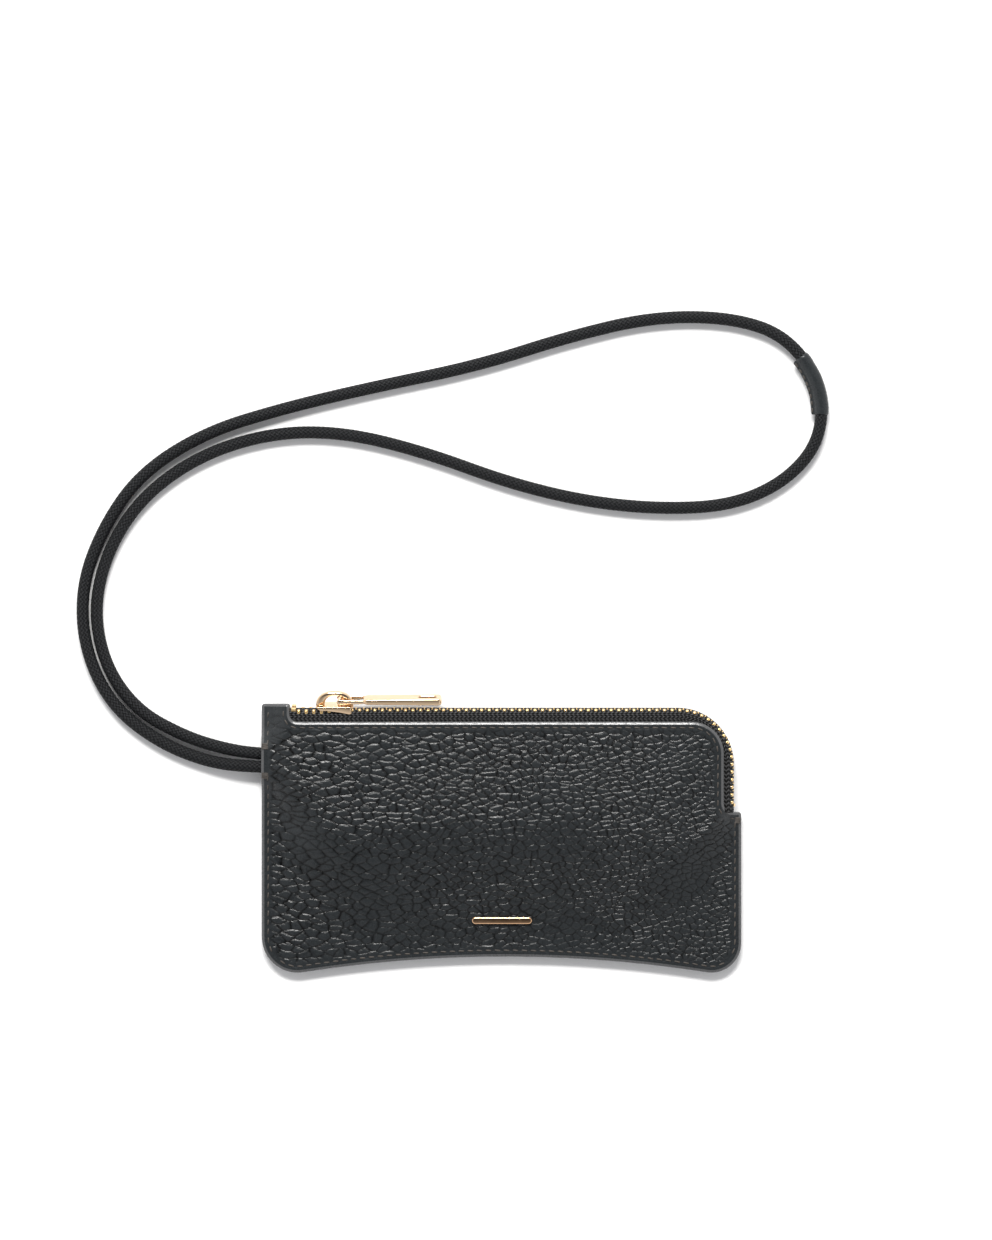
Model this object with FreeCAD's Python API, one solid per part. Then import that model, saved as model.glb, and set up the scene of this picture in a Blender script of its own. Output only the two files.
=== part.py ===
"""Neck pouch wallet: a flat leather pouch with a zip round its top corner, on a long cord loop.

The pouch lies on its back. X runs along its width, Y up its height and Z out of its front.
The origin is on the resting plane, below the middle of the leather body. Millimetres.
"""
import FreeCAD, Part
import math
import os

from FreeCAD import Vector

# Leather body
LEFT = -85.1
RIGHT = 85.2
TAB_TOP = 47.7
BOTTOM = -47.85
CORNER_LEFT = 12.8
CORNER_RIGHT = 10.65
BOTTOM_SWEEP = 465.0
SHOULDER = 9.2
SMALL_CORNER = 1.0
LEATHER = 1.3
SEAM_MARGIN = 3.5

# Window in each panel, which the zip fills
TAB_EDGE = -75.05
TAB_FILLET = 2.85
WINDOW_TOP = 41.4
WINDOW_RIGHT = 78.7
WINDOW_CORNER = 11.4
WINDOW_FILLET = 3.6

# Heights of the layers
RIM_LIFT = 0.8
LINING = 0.3
LINING_INSET = 1.0
LAYER_GAP = 0.05
TAPE_ROOM = 0.95
TAPE_ROOM_START = 20.0
TAPE_ROOM_RAMP = 7.0
RIM_OPENING = 2 * LINING + 3 * LAYER_GAP
DOME = 5.65
CROWN = 0.7
CROWN_REACH = 30.0

# Slopes of the leather inside its seams. The side slopes are short beside the zip.
LEFT_SLOPE = 44.0
LEFT_SLOPE_AT_ZIP = 4.5
LEFT_SHORTENS = (-16.0, 38.0)
RIGHT_SLOPE = 40.0
RIGHT_SLOPE_AT_ZIP = 4.0
RIGHT_SHORTENS = (-40.0, 6.0)
BOTTOM_SLOPE = 48.0
BACK_SIDE_SLOPE = 6.5
BACK_BOTTOM_SLOPE = 9.0
BACK_SAG = 0.3

# Zip chain
CHAIN_Y = 45.55
CHAIN_Z = 5.4
CHAIN_ROLL = 18.0
CHAIN_START = -71.8
CHAIN_END_Y = 13.2
TAPE_END_Y = 14.6
BEND_X = 62.6
BEND_Y = 26.3
BEND_RADIUS = CHAIN_Y - BEND_Y
PITCH = 2.7
TOOTH_LENGTH = 1.5
TOOTH_HALF_DEPTH = 1.1
TOOTH_REACH = 2.6
TOOTH_ROOT = 0.6
TOOTH_NECK = 0.3
TAPE = 0.5
TAPE_SLOT = 0.3
TAPE_SLOT_START = 1.5
TAPE_EDGE = (1.6, 2.9)
FRONT_TAPE_TAIL = [(-1.5, 2.84), (-2.3, 2.7), (-4.4, 2.5), (-11.0, 2.72)]
BACK_TAPE_TAIL = [(0.3, -3.42), (-1.0, -3.62), (-4.4, -3.6), (-11.0, -3.6)]
TOP_STOP_START = -2.6
TOP_STOP_LENGTH = 1.6
TOP_STOP_REACH = 2.6
BOTTOM_STOP_START = 0.9
BOTTOM_STOP_LENGTH = 1.0
BOTTOM_STOP_HALF = 0.9

# Slider and pull
SLIDER_LEFT = -65.8
SLIDER_RIGHT = -52.4
PLATE_LOW = 1.35
PLATE_HIGH = 2.3
PLATE_HALF_WIDTH = 3.6
FLANGE_IN = 2.9
FLANGE_LOW = 0.65
FLANGE_TRIM = 3.0
PLATE_NOSE = 1.2
POST_START = 1.5
POST_LENGTH = 4.0
WING_HALF_WIDTH = 2.6
POST_HALF_WIDTH = 0.3
BRIDGE_TOP = 7.0
BRIDGE_HALF_WIDTH = 1.7
HOLE_LEFT = -62.6
HOLE_RIGHT = -55.5
HOLE_TOP = 5.2
PIN_X = -57.3
PIN_OUT = 3.7
PIN_RADIUS = 0.7
PULL_HALF_DEPTH = 1.05
PULL_HALF_WIDTH = 3.0
PULL_ARM_IN = 2.0
PULL_BAR_START = -48.8
PULL_END = -21.1
PULL_SLOT_LENGTH = 6.4
PULL_SLOT_WIDTH = 2.0

# Cord
CORD_RADIUS = 2.2
CORD_Z = 2.25
EXIT_Y = 27.45
EXIT_HALF_HEIGHT = 5.6
EXIT_LIFT = 0.8
EXIT_SPREAD = 7.5
EXIT_REACH = (14.0, 40.0)
SLEEVE_Z = 2.85
SLEEVE_RADIUS = 2.8
SLEEVE_BORE = 2.25
SLEEVE_LEAD_IN = 3.0
SLEEVE_LEAD_OUT = 2.0
FIN_REACH = 3.7
FIN_HALF_THICKNESS = 1.0

CORD_ROUTE = [
    (-75.5, 25.2, 4.45), (-87.5, 25.2, 4.45), (-104.0, 26.8, CORD_Z), (-122.5, 34.3, CORD_Z),
    (-138.7, 47.3, CORD_Z), (-148.1, 66.9, CORD_Z), (-149.3, 89.0, CORD_Z), (-142.0, 109.5, CORD_Z),
    (-128.5, 129.3, CORD_Z), (-105.5, 144.0, CORD_Z), (-78.0, 152.5, CORD_Z), (-46.0, 160.1, CORD_Z),
    (-9.0, 167.6, CORD_Z), (25.5, 178.6, CORD_Z), (54.5, 185.2, CORD_Z), (82.0, 184.9, CORD_Z),
    (101.5, 178.2, SLEEVE_Z), (113.8, 160.8, SLEEVE_Z), (113.5, 141.5, SLEEVE_Z),
    (101.5, 127.0, CORD_Z), (82.5, 118.3, CORD_Z), (58.0, 116.8, CORD_Z), (31.0, 119.3, CORD_Z),
    (3.0, 126.0, CORD_Z), (-27.0, 137.0, CORD_Z), (-55.0, 144.0, CORD_Z), (-80.0, 144.2, CORD_Z),
    (-105.5, 136.8, CORD_Z), (-126.5, 122.5, CORD_Z), (-139.5, 103.5, CORD_Z),
    (-144.9, 82.0, CORD_Z), (-141.0, 61.3, CORD_Z), (-129.5, 45.2, CORD_Z),
    (-112.5, 36.0, CORD_Z), (-98.5, 31.7, 3.0), (-86.0, 29.8, 4.45), (-75.5, 29.7, 4.45),
]
SLEEVE_CORNER = 17

# Card pocket, badge and threads
POCKET_HALF_WIDTH = 46.0
POCKET_BOTTOM = -30.0
POCKET_TOP = 22.0
POCKET_THICKNESS = 0.5
BADGE_X = 0.2
BADGE_Y = -29.1
BADGE_LENGTH = 21.4
BADGE_WIDTH = 2.6
BADGE_THICKNESS = 1.0
BADGE_PIN_RADIUS = 0.5
BADGE_PIN_OFFSET = 8.0
STITCH_INSET = 2.3
WINDOW_STITCH_INSET = 2.1
STITCH_PITCH = 3.2
STITCH_LENGTH = 2.3
THREAD_RADIUS = 0.25
THREAD_GAP = 0.16

# Height field grid
FIELD_MARGIN = 4.0
FIELD_COLUMNS = 64
FIELD_ROWS = 44
DEGREE = 3
TALL = 30.0

Z_AXIS = Vector(0, 0, 1)
X_AXIS = Vector(1, 0, 0)
ORIGIN = Vector(0, 0, 0)


def smoothstep(value):
    value = min(max(value, 0.0), 1.0)
    return value * value * (3 - 2 * value)


def ramp(value, low_high):
    """0 below the first of two values, 1 above the second, and smooth between."""
    low, high = low_high
    return smoothstep((value - low) / (high - low))


def arc(x, y, radius, start, end):
    circle = Part.Circle(Vector(x, y, 0), Z_AXIS, radius)
    return Part.Arc(circle, math.radians(start), math.radians(end)).toShape()


def line(start, end):
    return Part.LineSegment(Vector(*start, 0), Vector(*end, 0)).toShape()


def bottom_arc_centre():
    """Centre of the hollow bottom arc, which is tangent to both bottom corners."""
    left = (LEFT + CORNER_LEFT, BOTTOM + CORNER_LEFT)
    right = (RIGHT - CORNER_RIGHT, BOTTOM + CORNER_RIGHT)
    reach_left = BOTTOM_SWEEP + CORNER_LEFT
    reach_right = BOTTOM_SWEEP + CORNER_RIGHT
    across = (right[0] - left[0], right[1] - left[1])
    span = math.hypot(*across)
    along = (reach_left ** 2 - reach_right ** 2 + span ** 2) / (2 * span)
    down = math.sqrt(reach_left ** 2 - along ** 2)
    unit = (across[0] / span, across[1] / span)
    return left[0] + unit[0] * along + unit[1] * down, left[1] + unit[1] * along - unit[0] * down


SWEEP_X, SWEEP_Y = bottom_arc_centre()


def bottom_edge(x):
    """Y of the body's bottom edge at x."""
    return SWEEP_Y + math.sqrt(BOTTOM_SWEEP ** 2 - (x - SWEEP_X) ** 2)


def panel_outline(inset=0.0):
    """Outline of a leather panel, or of a piece that stays inside it by an inset."""
    bottom_left = (LEFT + CORNER_LEFT, BOTTOM + CORNER_LEFT)
    bottom_right = (RIGHT - CORNER_RIGHT, BOTTOM + CORNER_RIGHT)
    to_left = math.degrees(math.atan2(bottom_left[1] - SWEEP_Y, bottom_left[0] - SWEEP_X))
    to_right = math.degrees(math.atan2(bottom_right[1] - SWEEP_Y, bottom_right[0] - SWEEP_X))
    left, right = LEFT + inset, RIGHT - inset
    tab_top, shoulder = TAB_TOP - inset, SHOULDER - inset
    tab_edge, window_right, window_top = TAB_EDGE - inset, WINDOW_RIGHT - inset, WINDOW_TOP - inset
    tab_fillet, window_fillet = TAB_FILLET + inset, WINDOW_FILLET + inset
    corner_radius = WINDOW_CORNER - inset
    r = max(SMALL_CORNER - inset, 0.2)
    edges = [
        line((left, tab_top - r), (left, bottom_left[1])),
        arc(*bottom_left, CORNER_LEFT - inset, 180, 180 + to_left),
        arc(SWEEP_X, SWEEP_Y, BOTTOM_SWEEP + inset, to_right, to_left),
        arc(*bottom_right, CORNER_RIGHT - inset, 180 + to_right, 360),
        line((right, bottom_right[1]), (right, shoulder - r)),
        arc(right - r, shoulder - r, r, 0, 90),
        line((right - r, shoulder), (window_right + window_fillet, shoulder)),
        arc(window_right + window_fillet, shoulder + window_fillet, window_fillet, 180, 270),
        line((window_right, shoulder + window_fillet), (window_right, window_top - corner_radius)),
        arc(window_right - corner_radius, window_top - corner_radius, corner_radius, 0, 90),
        line((window_right - corner_radius, window_top), (tab_edge + tab_fillet, window_top)),
        arc(tab_edge + tab_fillet, window_top + tab_fillet, tab_fillet, 180, 270),
        line((tab_edge, window_top + tab_fillet), (tab_edge, tab_top - r)),
        arc(tab_edge - r, tab_top - r, r, 0, 90),
        line((tab_edge - r, tab_top), (left + r, tab_top)),
        arc(left + r, tab_top - r, r, 90, 180),
    ]
    return Part.Wire(Part.__sortEdges__(edges))


def prism(wire):
    face = Part.Face(wire)
    face.translate(Vector(0, 0, -TALL / 2))
    return face.extrude(Vector(0, 0, 2 * TALL))


# Height fields. Each is a cubic B-spline sheet whose poles lie over one common grid, so a field
# that is above another at every pole is above it everywhere.

def knots(count):
    spans = count - DEGREE
    values = [i / spans for i in range(spans + 1)]
    mults = [DEGREE + 1] + [1] * (spans - 1) + [DEGREE + 1]
    return values, mults


def pole_places(count, low, high):
    """Positions along one direction that make the sheet's own x or y run evenly."""
    values, mults = knots(count)
    flat = [v for v, m in zip(values, mults) for _ in range(m)]
    means = [sum(flat[i + 1:i + 1 + DEGREE]) / DEGREE for i in range(count)]
    return [low + (high - low) * m for m in means]


FIELD_X = (LEFT - FIELD_MARGIN, RIGHT + FIELD_MARGIN)
FIELD_Y = (BOTTOM - FIELD_MARGIN, TAB_TOP + FIELD_MARGIN)


def sheet(height):
    xs = pole_places(FIELD_COLUMNS, *FIELD_X)
    ys = pole_places(FIELD_ROWS, *FIELD_Y)
    poles = [[Vector(x, y, height(x, y)) for y in ys] for x in xs]
    surface = Part.BSplineSurface()
    u_values, u_mults = knots(FIELD_COLUMNS)
    v_values, v_mults = knots(FIELD_ROWS)
    surface.buildFromPolesMultsKnots(
        poles, u_mults, v_mults, u_values, v_values, False, False, DEGREE, DEGREE
    )
    return surface


def sheet_height(surface, x, y):
    u = (x - FIELD_X[0]) / (FIELD_X[1] - FIELD_X[0])
    v = (y - FIELD_Y[0]) / (FIELD_Y[1] - FIELD_Y[0])
    return surface.value(u, v).z


def shell(outline, low, high):
    """The solid inside the outline, between two sheets."""
    above_low = low.toShape().extrude(Vector(0, 0, TALL))
    above_high = high.toShape().extrude(Vector(0, 0, TALL))
    return outline.common(above_low).cut(above_high)


def right_seam_distance(x, y):
    return math.hypot(RIGHT - x, max(y - SHOULDER, 0.0)) if x < RIGHT else max(y - SHOULDER, 0.0)


def rise(distance, length):
    return smoothstep((distance - SEAM_MARGIN) / length)


def fullness(x, y):
    """0 along the sewn edges and 1 where the front stands clear of the back."""
    left_length = LEFT_SLOPE - (LEFT_SLOPE - LEFT_SLOPE_AT_ZIP) * ramp(y, LEFT_SHORTENS)
    right_length = RIGHT_SLOPE - (RIGHT_SLOPE - RIGHT_SLOPE_AT_ZIP) * ramp(y, RIGHT_SHORTENS)
    sides = rise(x - LEFT, left_length) * rise(right_seam_distance(x, y), right_length)
    return sides * rise(y - bottom_edge(x), BOTTOM_SLOPE)


def exit_bulge(x, y):
    """How far the cord ends hold the left seam open."""
    off = abs(y - EXIT_Y) - EXIT_HALF_HEIGHT
    reach = 1 - ramp(x - LEFT, EXIT_REACH)
    return EXIT_LIFT * (1 - smoothstep(off / EXIT_SPREAD)) * reach


def back_fullness(x, y):
    sides = rise(x - LEFT, BACK_SIDE_SLOPE) * rise(right_seam_distance(x, y), BACK_SIDE_SLOPE)
    return sides * rise(y - bottom_edge(x), BACK_BOTTOM_SLOPE)


def chain_distance(x, y):
    """Signed distance outward from the chain's path."""
    if x > BEND_X and y > BEND_Y:
        return math.hypot(x - BEND_X, y - BEND_Y) - BEND_RADIUS
    return max(y - BEND_Y, x - BEND_X) - BEND_RADIUS


def tape_room(x, y):
    near = smoothstep((chain_distance(x, y) + TAPE_ROOM_START) / TAPE_ROOM_RAMP)
    return TAPE_ROOM * near * fullness(x, y)


def back_low(x, y):
    full = back_fullness(x, y)
    return RIM_LIFT * (1 - full) - BACK_SAG * full


def back_high(x, y):
    return LEATHER + RIM_LIFT * (1 - back_fullness(x, y))


def back_lining_low(x, y):
    return back_high(x, y) + LAYER_GAP + tape_room(x, y)


def front_low(x, y):
    full = fullness(x, y)
    lift = 1 - (1 - full) * (1 - exit_bulge(x, y))
    crown = CROWN * full * smoothstep(-chain_distance(x, y) / CROWN_REACH)
    return LEATHER + RIM_LIFT + RIM_OPENING + DOME * lift + crown


def front_lining_high(x, y):
    return front_low(x, y) - LAYER_GAP - tape_room(x, y)


def raised(height, amount):
    return lambda x, y: height(x, y) + amount


# Zip. Local axes: x along the chain, y out of its face, z across it towards the front.

def on_chain(shape, distance):
    """Put a shape made at the local origin on the chain, at a distance along it."""
    placed = shape.copy()
    placed.rotate(ORIGIN, X_AXIS, CHAIN_ROLL)
    placed.translate(Vector(CHAIN_START, CHAIN_Y, CHAIN_Z))
    straight = BEND_X - CHAIN_START
    bend = BEND_RADIUS * math.pi / 2
    placed.translate(Vector(min(distance, straight), 0, 0))
    if distance > straight:
        turn = min((distance - straight) / bend, 1.0) * 90
        placed.rotate(Vector(BEND_X, BEND_Y, 0), Z_AXIS, -turn)
    placed.translate(Vector(0, -max(distance - straight - bend, 0.0), 0))
    return placed


def chain_length():
    return BEND_X - CHAIN_START + BEND_RADIUS * math.pi / 2 + BEND_Y - CHAIN_END_Y


def polygon_prism(points, plane, low, high):
    """Extrude a polygon. plane names its two axes, and low and high are along the third."""
    place = {
        "xy": lambda a, b: Vector(a, b, low),
        "xz": lambda a, b: Vector(a, low, b),
        "yz": lambda a, b: Vector(low, a, b),
    }[plane]
    along = {"xy": Z_AXIS, "xz": Vector(0, 1, 0), "yz": X_AXIS}[plane]
    vertices = [place(*p) for p in points]
    return Part.Face(Part.makePolygon(vertices + vertices[:1])).extrude(along * (high - low))


def tooth(side):
    """One claw that grips the tape's edge. side is 1 at the front and -1 at the back."""
    d = TOOTH_HALF_DEPTH
    head = TOOTH_ROOT + TOOTH_NECK
    slot = TAPE_SLOT_START
    half = [(d, TOOTH_REACH), (d, head), (TOOTH_ROOT, TOOTH_ROOT)]
    outline = half + [(-a, b) for a, b in reversed(half)]
    outline += [(-TAPE_SLOT, TOOTH_REACH), (-TAPE_SLOT, slot), (TAPE_SLOT, slot), (TAPE_SLOT, TOOTH_REACH)]
    outline = [(a, side * b) for a, b in outline]
    return polygon_prism(outline, "yz", -TOOTH_LENGTH / 2, TOOTH_LENGTH / 2)


def teeth(side):
    first = PITCH / 2 if side < 0 else 0.0
    count = int((chain_length() - first) / PITCH) + 1
    claw = tooth(side)
    return Part.makeCompound([on_chain(claw, first + i * PITCH) for i in range(count)])


def strip_outline(points, thickness):
    """Polygon round an open line of (outward, height) points."""
    normals = []
    for i in range(len(points)):
        before = points[max(i - 1, 0)]
        after = points[min(i + 1, len(points) - 1)]
        length = math.hypot(after[0] - before[0], after[1] - before[1])
        normals.append(((before[1] - after[1]) / length, (after[0] - before[0]) / length))
    half = thickness / 2
    one = [(p[0] + n[0] * half, p[1] + n[1] * half) for p, n in zip(points, normals)]
    other = [(p[0] - n[0] * half, p[1] - n[1] * half) for p, n in zip(points, normals)]
    return one + other[::-1]


def along_chain(outline):
    """Carry a section of (outward, height) points along the chain's path."""
    points = [(CHAIN_Y + a, CHAIN_Z + b) for a, b in outline]
    start = TAB_EDGE + 0.3
    top = polygon_prism(points, "yz", start, BEND_X)
    section = Part.Face(Part.makePolygon([Vector(BEND_X, *p) for p in points + points[:1]]))
    bend = section.revolve(Vector(BEND_X, BEND_Y, 0), Z_AXIS, -90)
    section.rotate(Vector(BEND_X, BEND_Y, 0), Z_AXIS, -90)
    side = section.extrude(Vector(0, TAPE_END_Y - BEND_Y, 0))
    return top.fuse([bend, side]).removeSplitter()


def tape_points(side):
    """Middle line of one tape's section, from the chain in behind its panel."""
    s = math.sin(math.radians(CHAIN_ROLL))
    c = math.cos(math.radians(CHAIN_ROLL))
    ends = [(-side * a * s, side * a * c) for a in TAPE_EDGE]
    return ends + (FRONT_TAPE_TAIL if side > 0 else BACK_TAPE_TAIL)


def top_stops():
    block = Part.makeBox(
        TOP_STOP_LENGTH, 2 * TOOTH_HALF_DEPTH, TOP_STOP_REACH - TOOTH_ROOT,
        Vector(TOP_STOP_START, -TOOTH_HALF_DEPTH, TOOTH_ROOT),
    )
    slot = Part.makeBox(
        TOP_STOP_LENGTH, 2 * TAPE_SLOT, TOP_STOP_REACH - TAPE_SLOT_START,
        Vector(TOP_STOP_START, -TAPE_SLOT, TAPE_SLOT_START),
    )
    front = block.cut(slot)
    back = front.mirror(ORIGIN, Z_AXIS)
    return Part.makeCompound([on_chain(front, 0), on_chain(back, 0)])


def bottom_stop():
    half = BOTTOM_STOP_HALF
    block = Part.makeBox(BOTTOM_STOP_LENGTH, 2 * half, 2 * half, Vector(BOTTOM_STOP_START, -half, -half))
    return on_chain(block, chain_length())


def on_slider(shape):
    placed = shape.copy()
    placed.rotate(ORIGIN, X_AXIS, CHAIN_ROLL)
    placed.translate(Vector(0, CHAIN_Y, CHAIN_Z))
    return placed


def slider_plan(half_width, nose, tail):
    """Shield-shaped plan of a slider plate: wide where the rows part, narrow behind."""
    return [
        (SLIDER_LEFT + PLATE_NOSE, half_width), (SLIDER_LEFT, half_width - nose),
        (SLIDER_LEFT, nose - half_width), (SLIDER_LEFT + PLATE_NOSE, -half_width),
        (SLIDER_RIGHT - FLANGE_TRIM, -half_width), (SLIDER_RIGHT, tail - half_width),
        (SLIDER_RIGHT, half_width - tail), (SLIDER_RIGHT - FLANGE_TRIM, half_width),
    ]


def slider_body():
    plate = polygon_prism(slider_plan(PLATE_HALF_WIDTH, 1.2, 0.5), "xz", PLATE_LOW, PLATE_HIGH)
    wing = polygon_prism(slider_plan(WING_HALF_WIDTH, 0.9, 0.4), "xz", -PLATE_HIGH, -PLATE_LOW)
    post = Part.makeBox(
        POST_LENGTH, 2 * PLATE_HIGH - 0.4, 2 * POST_HALF_WIDTH,
        Vector(SLIDER_LEFT + POST_START, 0.2 - PLATE_HIGH, -POST_HALF_WIDTH),
    )
    length = SLIDER_RIGHT - SLIDER_LEFT - PLATE_NOSE - FLANGE_TRIM
    flanges = []
    for side in (1, -1):
        low = FLANGE_IN if side > 0 else -PLATE_HALF_WIDTH
        width = PLATE_HALF_WIDTH - FLANGE_IN
        start = Vector(SLIDER_LEFT + PLATE_NOSE, FLANGE_LOW, low)
        flanges.append(Part.makeBox(length, PLATE_HIGH - FLANGE_LOW - 0.1, width, start))
    solid = plate.fuse([post, wing] + flanges).removeSplitter()
    return on_slider(solid)


def half_ellipse(left, right, foot, top):
    """Closed arch outline over the local x axis, from foot up to top."""
    centre = Vector((left + right) / 2, foot, 0)
    major = (right - left) / 2
    minor = top - foot
    if major >= minor:
        ellipse = Part.Ellipse(centre, major, minor)
        curve = Part.Arc(ellipse, 0, math.pi).toShape()
    else:
        ellipse = Part.Ellipse(centre + Vector(0, minor, 0), centre + Vector(major, 0, 0), centre)
        curve = Part.Arc(ellipse, -math.pi / 2, math.pi / 2).toShape()
    base = Part.LineSegment(Vector(left, foot, 0), Vector(right, foot, 0)).toShape()
    return Part.Wire(Part.__sortEdges__([curve, base]))


def slider_bridge():
    foot = PLATE_HIGH + 0.02
    outer = Part.Face(half_ellipse(SLIDER_LEFT + 0.1, SLIDER_RIGHT - 0.1, foot, BRIDGE_TOP))
    inner = Part.Face(half_ellipse(HOLE_LEFT, HOLE_RIGHT, foot, HOLE_TOP))
    arch = outer.cut(inner)
    arch.translate(Vector(0, 0, -BRIDGE_HALF_WIDTH))
    solid = arch.extrude(Vector(0, 0, 2 * BRIDGE_HALF_WIDTH))
    return on_slider(solid)


def pull_tab():
    low = PIN_OUT - PULL_HALF_DEPTH
    width = 2 * PULL_HALF_WIDTH
    bar_length = PULL_END - PULL_BAR_START - PULL_HALF_WIDTH
    bar = Part.makeBox(
        bar_length, 2 * PULL_HALF_DEPTH, width, Vector(PULL_BAR_START, low, -PULL_HALF_WIDTH)
    )
    out = Vector(0, 1, 0)
    end = Part.makeCylinder(
        PULL_HALF_WIDTH, 2 * PULL_HALF_DEPTH, Vector(PULL_END - PULL_HALF_WIDTH, low, 0), out
    )
    pieces = [bar.fuse(end)]
    arm_width = PULL_HALF_WIDTH - PULL_ARM_IN
    for side in (1, -1):
        base = PULL_ARM_IN if side > 0 else -PULL_HALF_WIDTH
        arm = Part.makeBox(
            PULL_BAR_START - PIN_X + 0.5, 2 * PULL_HALF_DEPTH, arm_width, Vector(PIN_X, low, base)
        )
        eye = Part.makeCylinder(PULL_HALF_DEPTH, arm_width, Vector(PIN_X, PIN_OUT, base), Z_AXIS)
        pieces.append(arm.fuse(eye))
    pin = Part.makeCylinder(
        PIN_RADIUS, width - 0.4, Vector(PIN_X, PIN_OUT, 0.2 - PULL_HALF_WIDTH), Z_AXIS
    )
    solid = pieces[0].fuse(pieces[1:] + [pin])
    slot_start = PULL_END - 1.9 - PULL_SLOT_LENGTH
    half = PULL_SLOT_WIDTH / 2
    slot = Part.makeBox(
        PULL_SLOT_LENGTH - PULL_SLOT_WIDTH, TALL, PULL_SLOT_WIDTH, Vector(slot_start + half, 0, -half)
    )
    for x in (slot_start + half, slot_start + PULL_SLOT_LENGTH - half):
        slot = slot.fuse(Part.makeCylinder(half, TALL, Vector(x, 0, 0), out))
    return on_slider(solid.cut(slot).removeSplitter())


# Cord

def corner(before, at, after):
    """Tangent points, radius and middle point of the arc that rounds one corner of the route."""
    back = before - at
    ahead = after - at
    run = min(back.Length, ahead.Length)
    back.normalize()
    ahead.normalize()
    turn = math.pi - back.getAngle(ahead)
    reach = 0.45 * run
    radius = reach / math.tan(turn / 2)
    bisector = back + ahead
    bisector.normalize()
    middle = at + bisector * (radius / math.cos(turn / 2) - radius)
    return at + back * reach, middle, at + ahead * reach, radius


def cord_edges(points):
    corners = [corner(*points[i:i + 3]) for i in range(len(points) - 2)]
    edges = []
    here = points[0]
    for start, middle, end, _ in corners:
        edges.append(Part.LineSegment(here, start).toShape())
        edges.append(Part.Arc(start, middle, end).toShape())
        here = end
    edges.append(Part.LineSegment(here, points[-1]).toShape())
    return edges, [c[3] for c in corners]


def tube(path, radius):
    start = path.Edges[0].firstVertex().Point
    ahead = path.Edges[0].tangentAt(path.Edges[0].FirstParameter)
    ring = Part.Wire(Part.Circle(start, ahead, radius).toShape())
    return path.makePipeShell([ring], True, False)


def neck_cord(path, radii):
    solid = tube(path, CORD_RADIUS)
    expected = math.pi * CORD_RADIUS ** 2 * path.Length
    print("cord length", round(path.Length, 1), "volume ratio", round(solid.Volume / expected, 4))
    print("cord radii", [round(r, 1) for r in radii])
    return solid


def sleeve_path(points):
    start, middle, end, _ = corner(*points[SLEEVE_CORNER - 1:SLEEVE_CORNER + 2])
    before = points[SLEEVE_CORNER - 1] - start
    after = points[SLEEVE_CORNER + 1] - end
    before.normalize()
    after.normalize()
    first = start + before * SLEEVE_LEAD_IN
    last = end + after * SLEEVE_LEAD_OUT
    edges = [Part.LineSegment(first, start), Part.Arc(start, middle, end), Part.LineSegment(end, last)]
    return Part.Wire([e.toShape() for e in edges])


def cord_sleeve(path):
    edge = path.Edges[0]
    start = edge.firstVertex().Point
    ahead = edge.tangentAt(edge.FirstParameter)
    inward = ahead.cross(Z_AXIS)
    near = inward * (SLEEVE_BORE + 0.3)
    far = inward * FIN_REACH
    up = Z_AXIS * FIN_HALF_THICKNESS
    ring = [start + near - up, start + far - up, start + far + up, start + near + up]
    fin = path.makePipeShell([Part.makePolygon(ring + ring[:1])], True, False)
    return tube(path, SLEEVE_RADIUS).fuse(fin).cut(tube(path, SLEEVE_BORE)).removeSplitter()


# Threads

def stitch(start, end):
    along = end - start
    return Part.makeCylinder(THREAD_RADIUS, along.Length, start, along)


def stitches_on(surface, wire, side, keep):
    """Stitches along a wire, laid on a sheet. side is 1 above it and -1 below."""
    solids = []
    off = side * (THREAD_RADIUS + THREAD_GAP)
    count = int(wire.Length / STITCH_PITCH)
    places = wire.discretize(Number=2 * count + 1)
    for i in range(count):
        middle = places[2 * i + 1]
        ahead = places[2 * i + 2] - places[2 * i]
        ahead.normalize()
        if not keep(middle):
            continue
        ends = [middle - ahead * (STITCH_LENGTH / 2), middle + ahead * (STITCH_LENGTH / 2)]
        ends = [Vector(p.x, p.y, sheet_height(surface, p.x, p.y) + off) for p in ends]
        solids.append(stitch(*ends))
    return solids


def sewn_edge(point):
    """True beside the left, bottom and right edges, clear of the cord's exit."""
    at_exit = point.x < 0 and abs(point.y - EXIT_Y) < EXIT_HALF_HEIGHT + 2
    at_shoulder = point.x > 0 and point.y > SHOULDER - 6
    side = point.x < LEFT + 4 or point.x > RIGHT - 4
    low = point.y < BOTTOM + CORNER_LEFT
    return (side or low) and point.y < TAB_TOP - STITCH_INSET - 1 and not (at_exit or at_shoulder)


def window_edge(point):
    """True beside the zip window, from the tab to the shoulder."""
    beside_tab = abs(point.x - TAB_EDGE) < 3 and point.y > WINDOW_TOP - 3
    top = point.y > WINDOW_TOP - 3.5 and point.x > TAB_EDGE
    right = point.x > WINDOW_RIGHT - 8 and point.y > SHOULDER - 1
    return (beside_tab or top or right) and point.y < TAB_TOP - WINDOW_STITCH_INSET - 1


def bar_tacks(surface):
    solids = []
    rows = [(LEFT, y, 1) for y in (EXIT_Y - 5.2, EXIT_Y + 5.2)] + [(RIGHT, SHOULDER - 2.9, -1)]
    for x, y, inward in rows:
        for i in range(4):
            offset = (i - 1.5) * 0.55
            ends = [(x + inward * 0.3, y + offset), (x + inward * 3.1, y + offset)]
            off = THREAD_RADIUS + THREAD_GAP
            ends = [Vector(a, b, sheet_height(surface, a, b) + off + 0.08) for a, b in ends]
            solids.append(stitch(*ends))
    return Part.makeCompound(solids)


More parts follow.
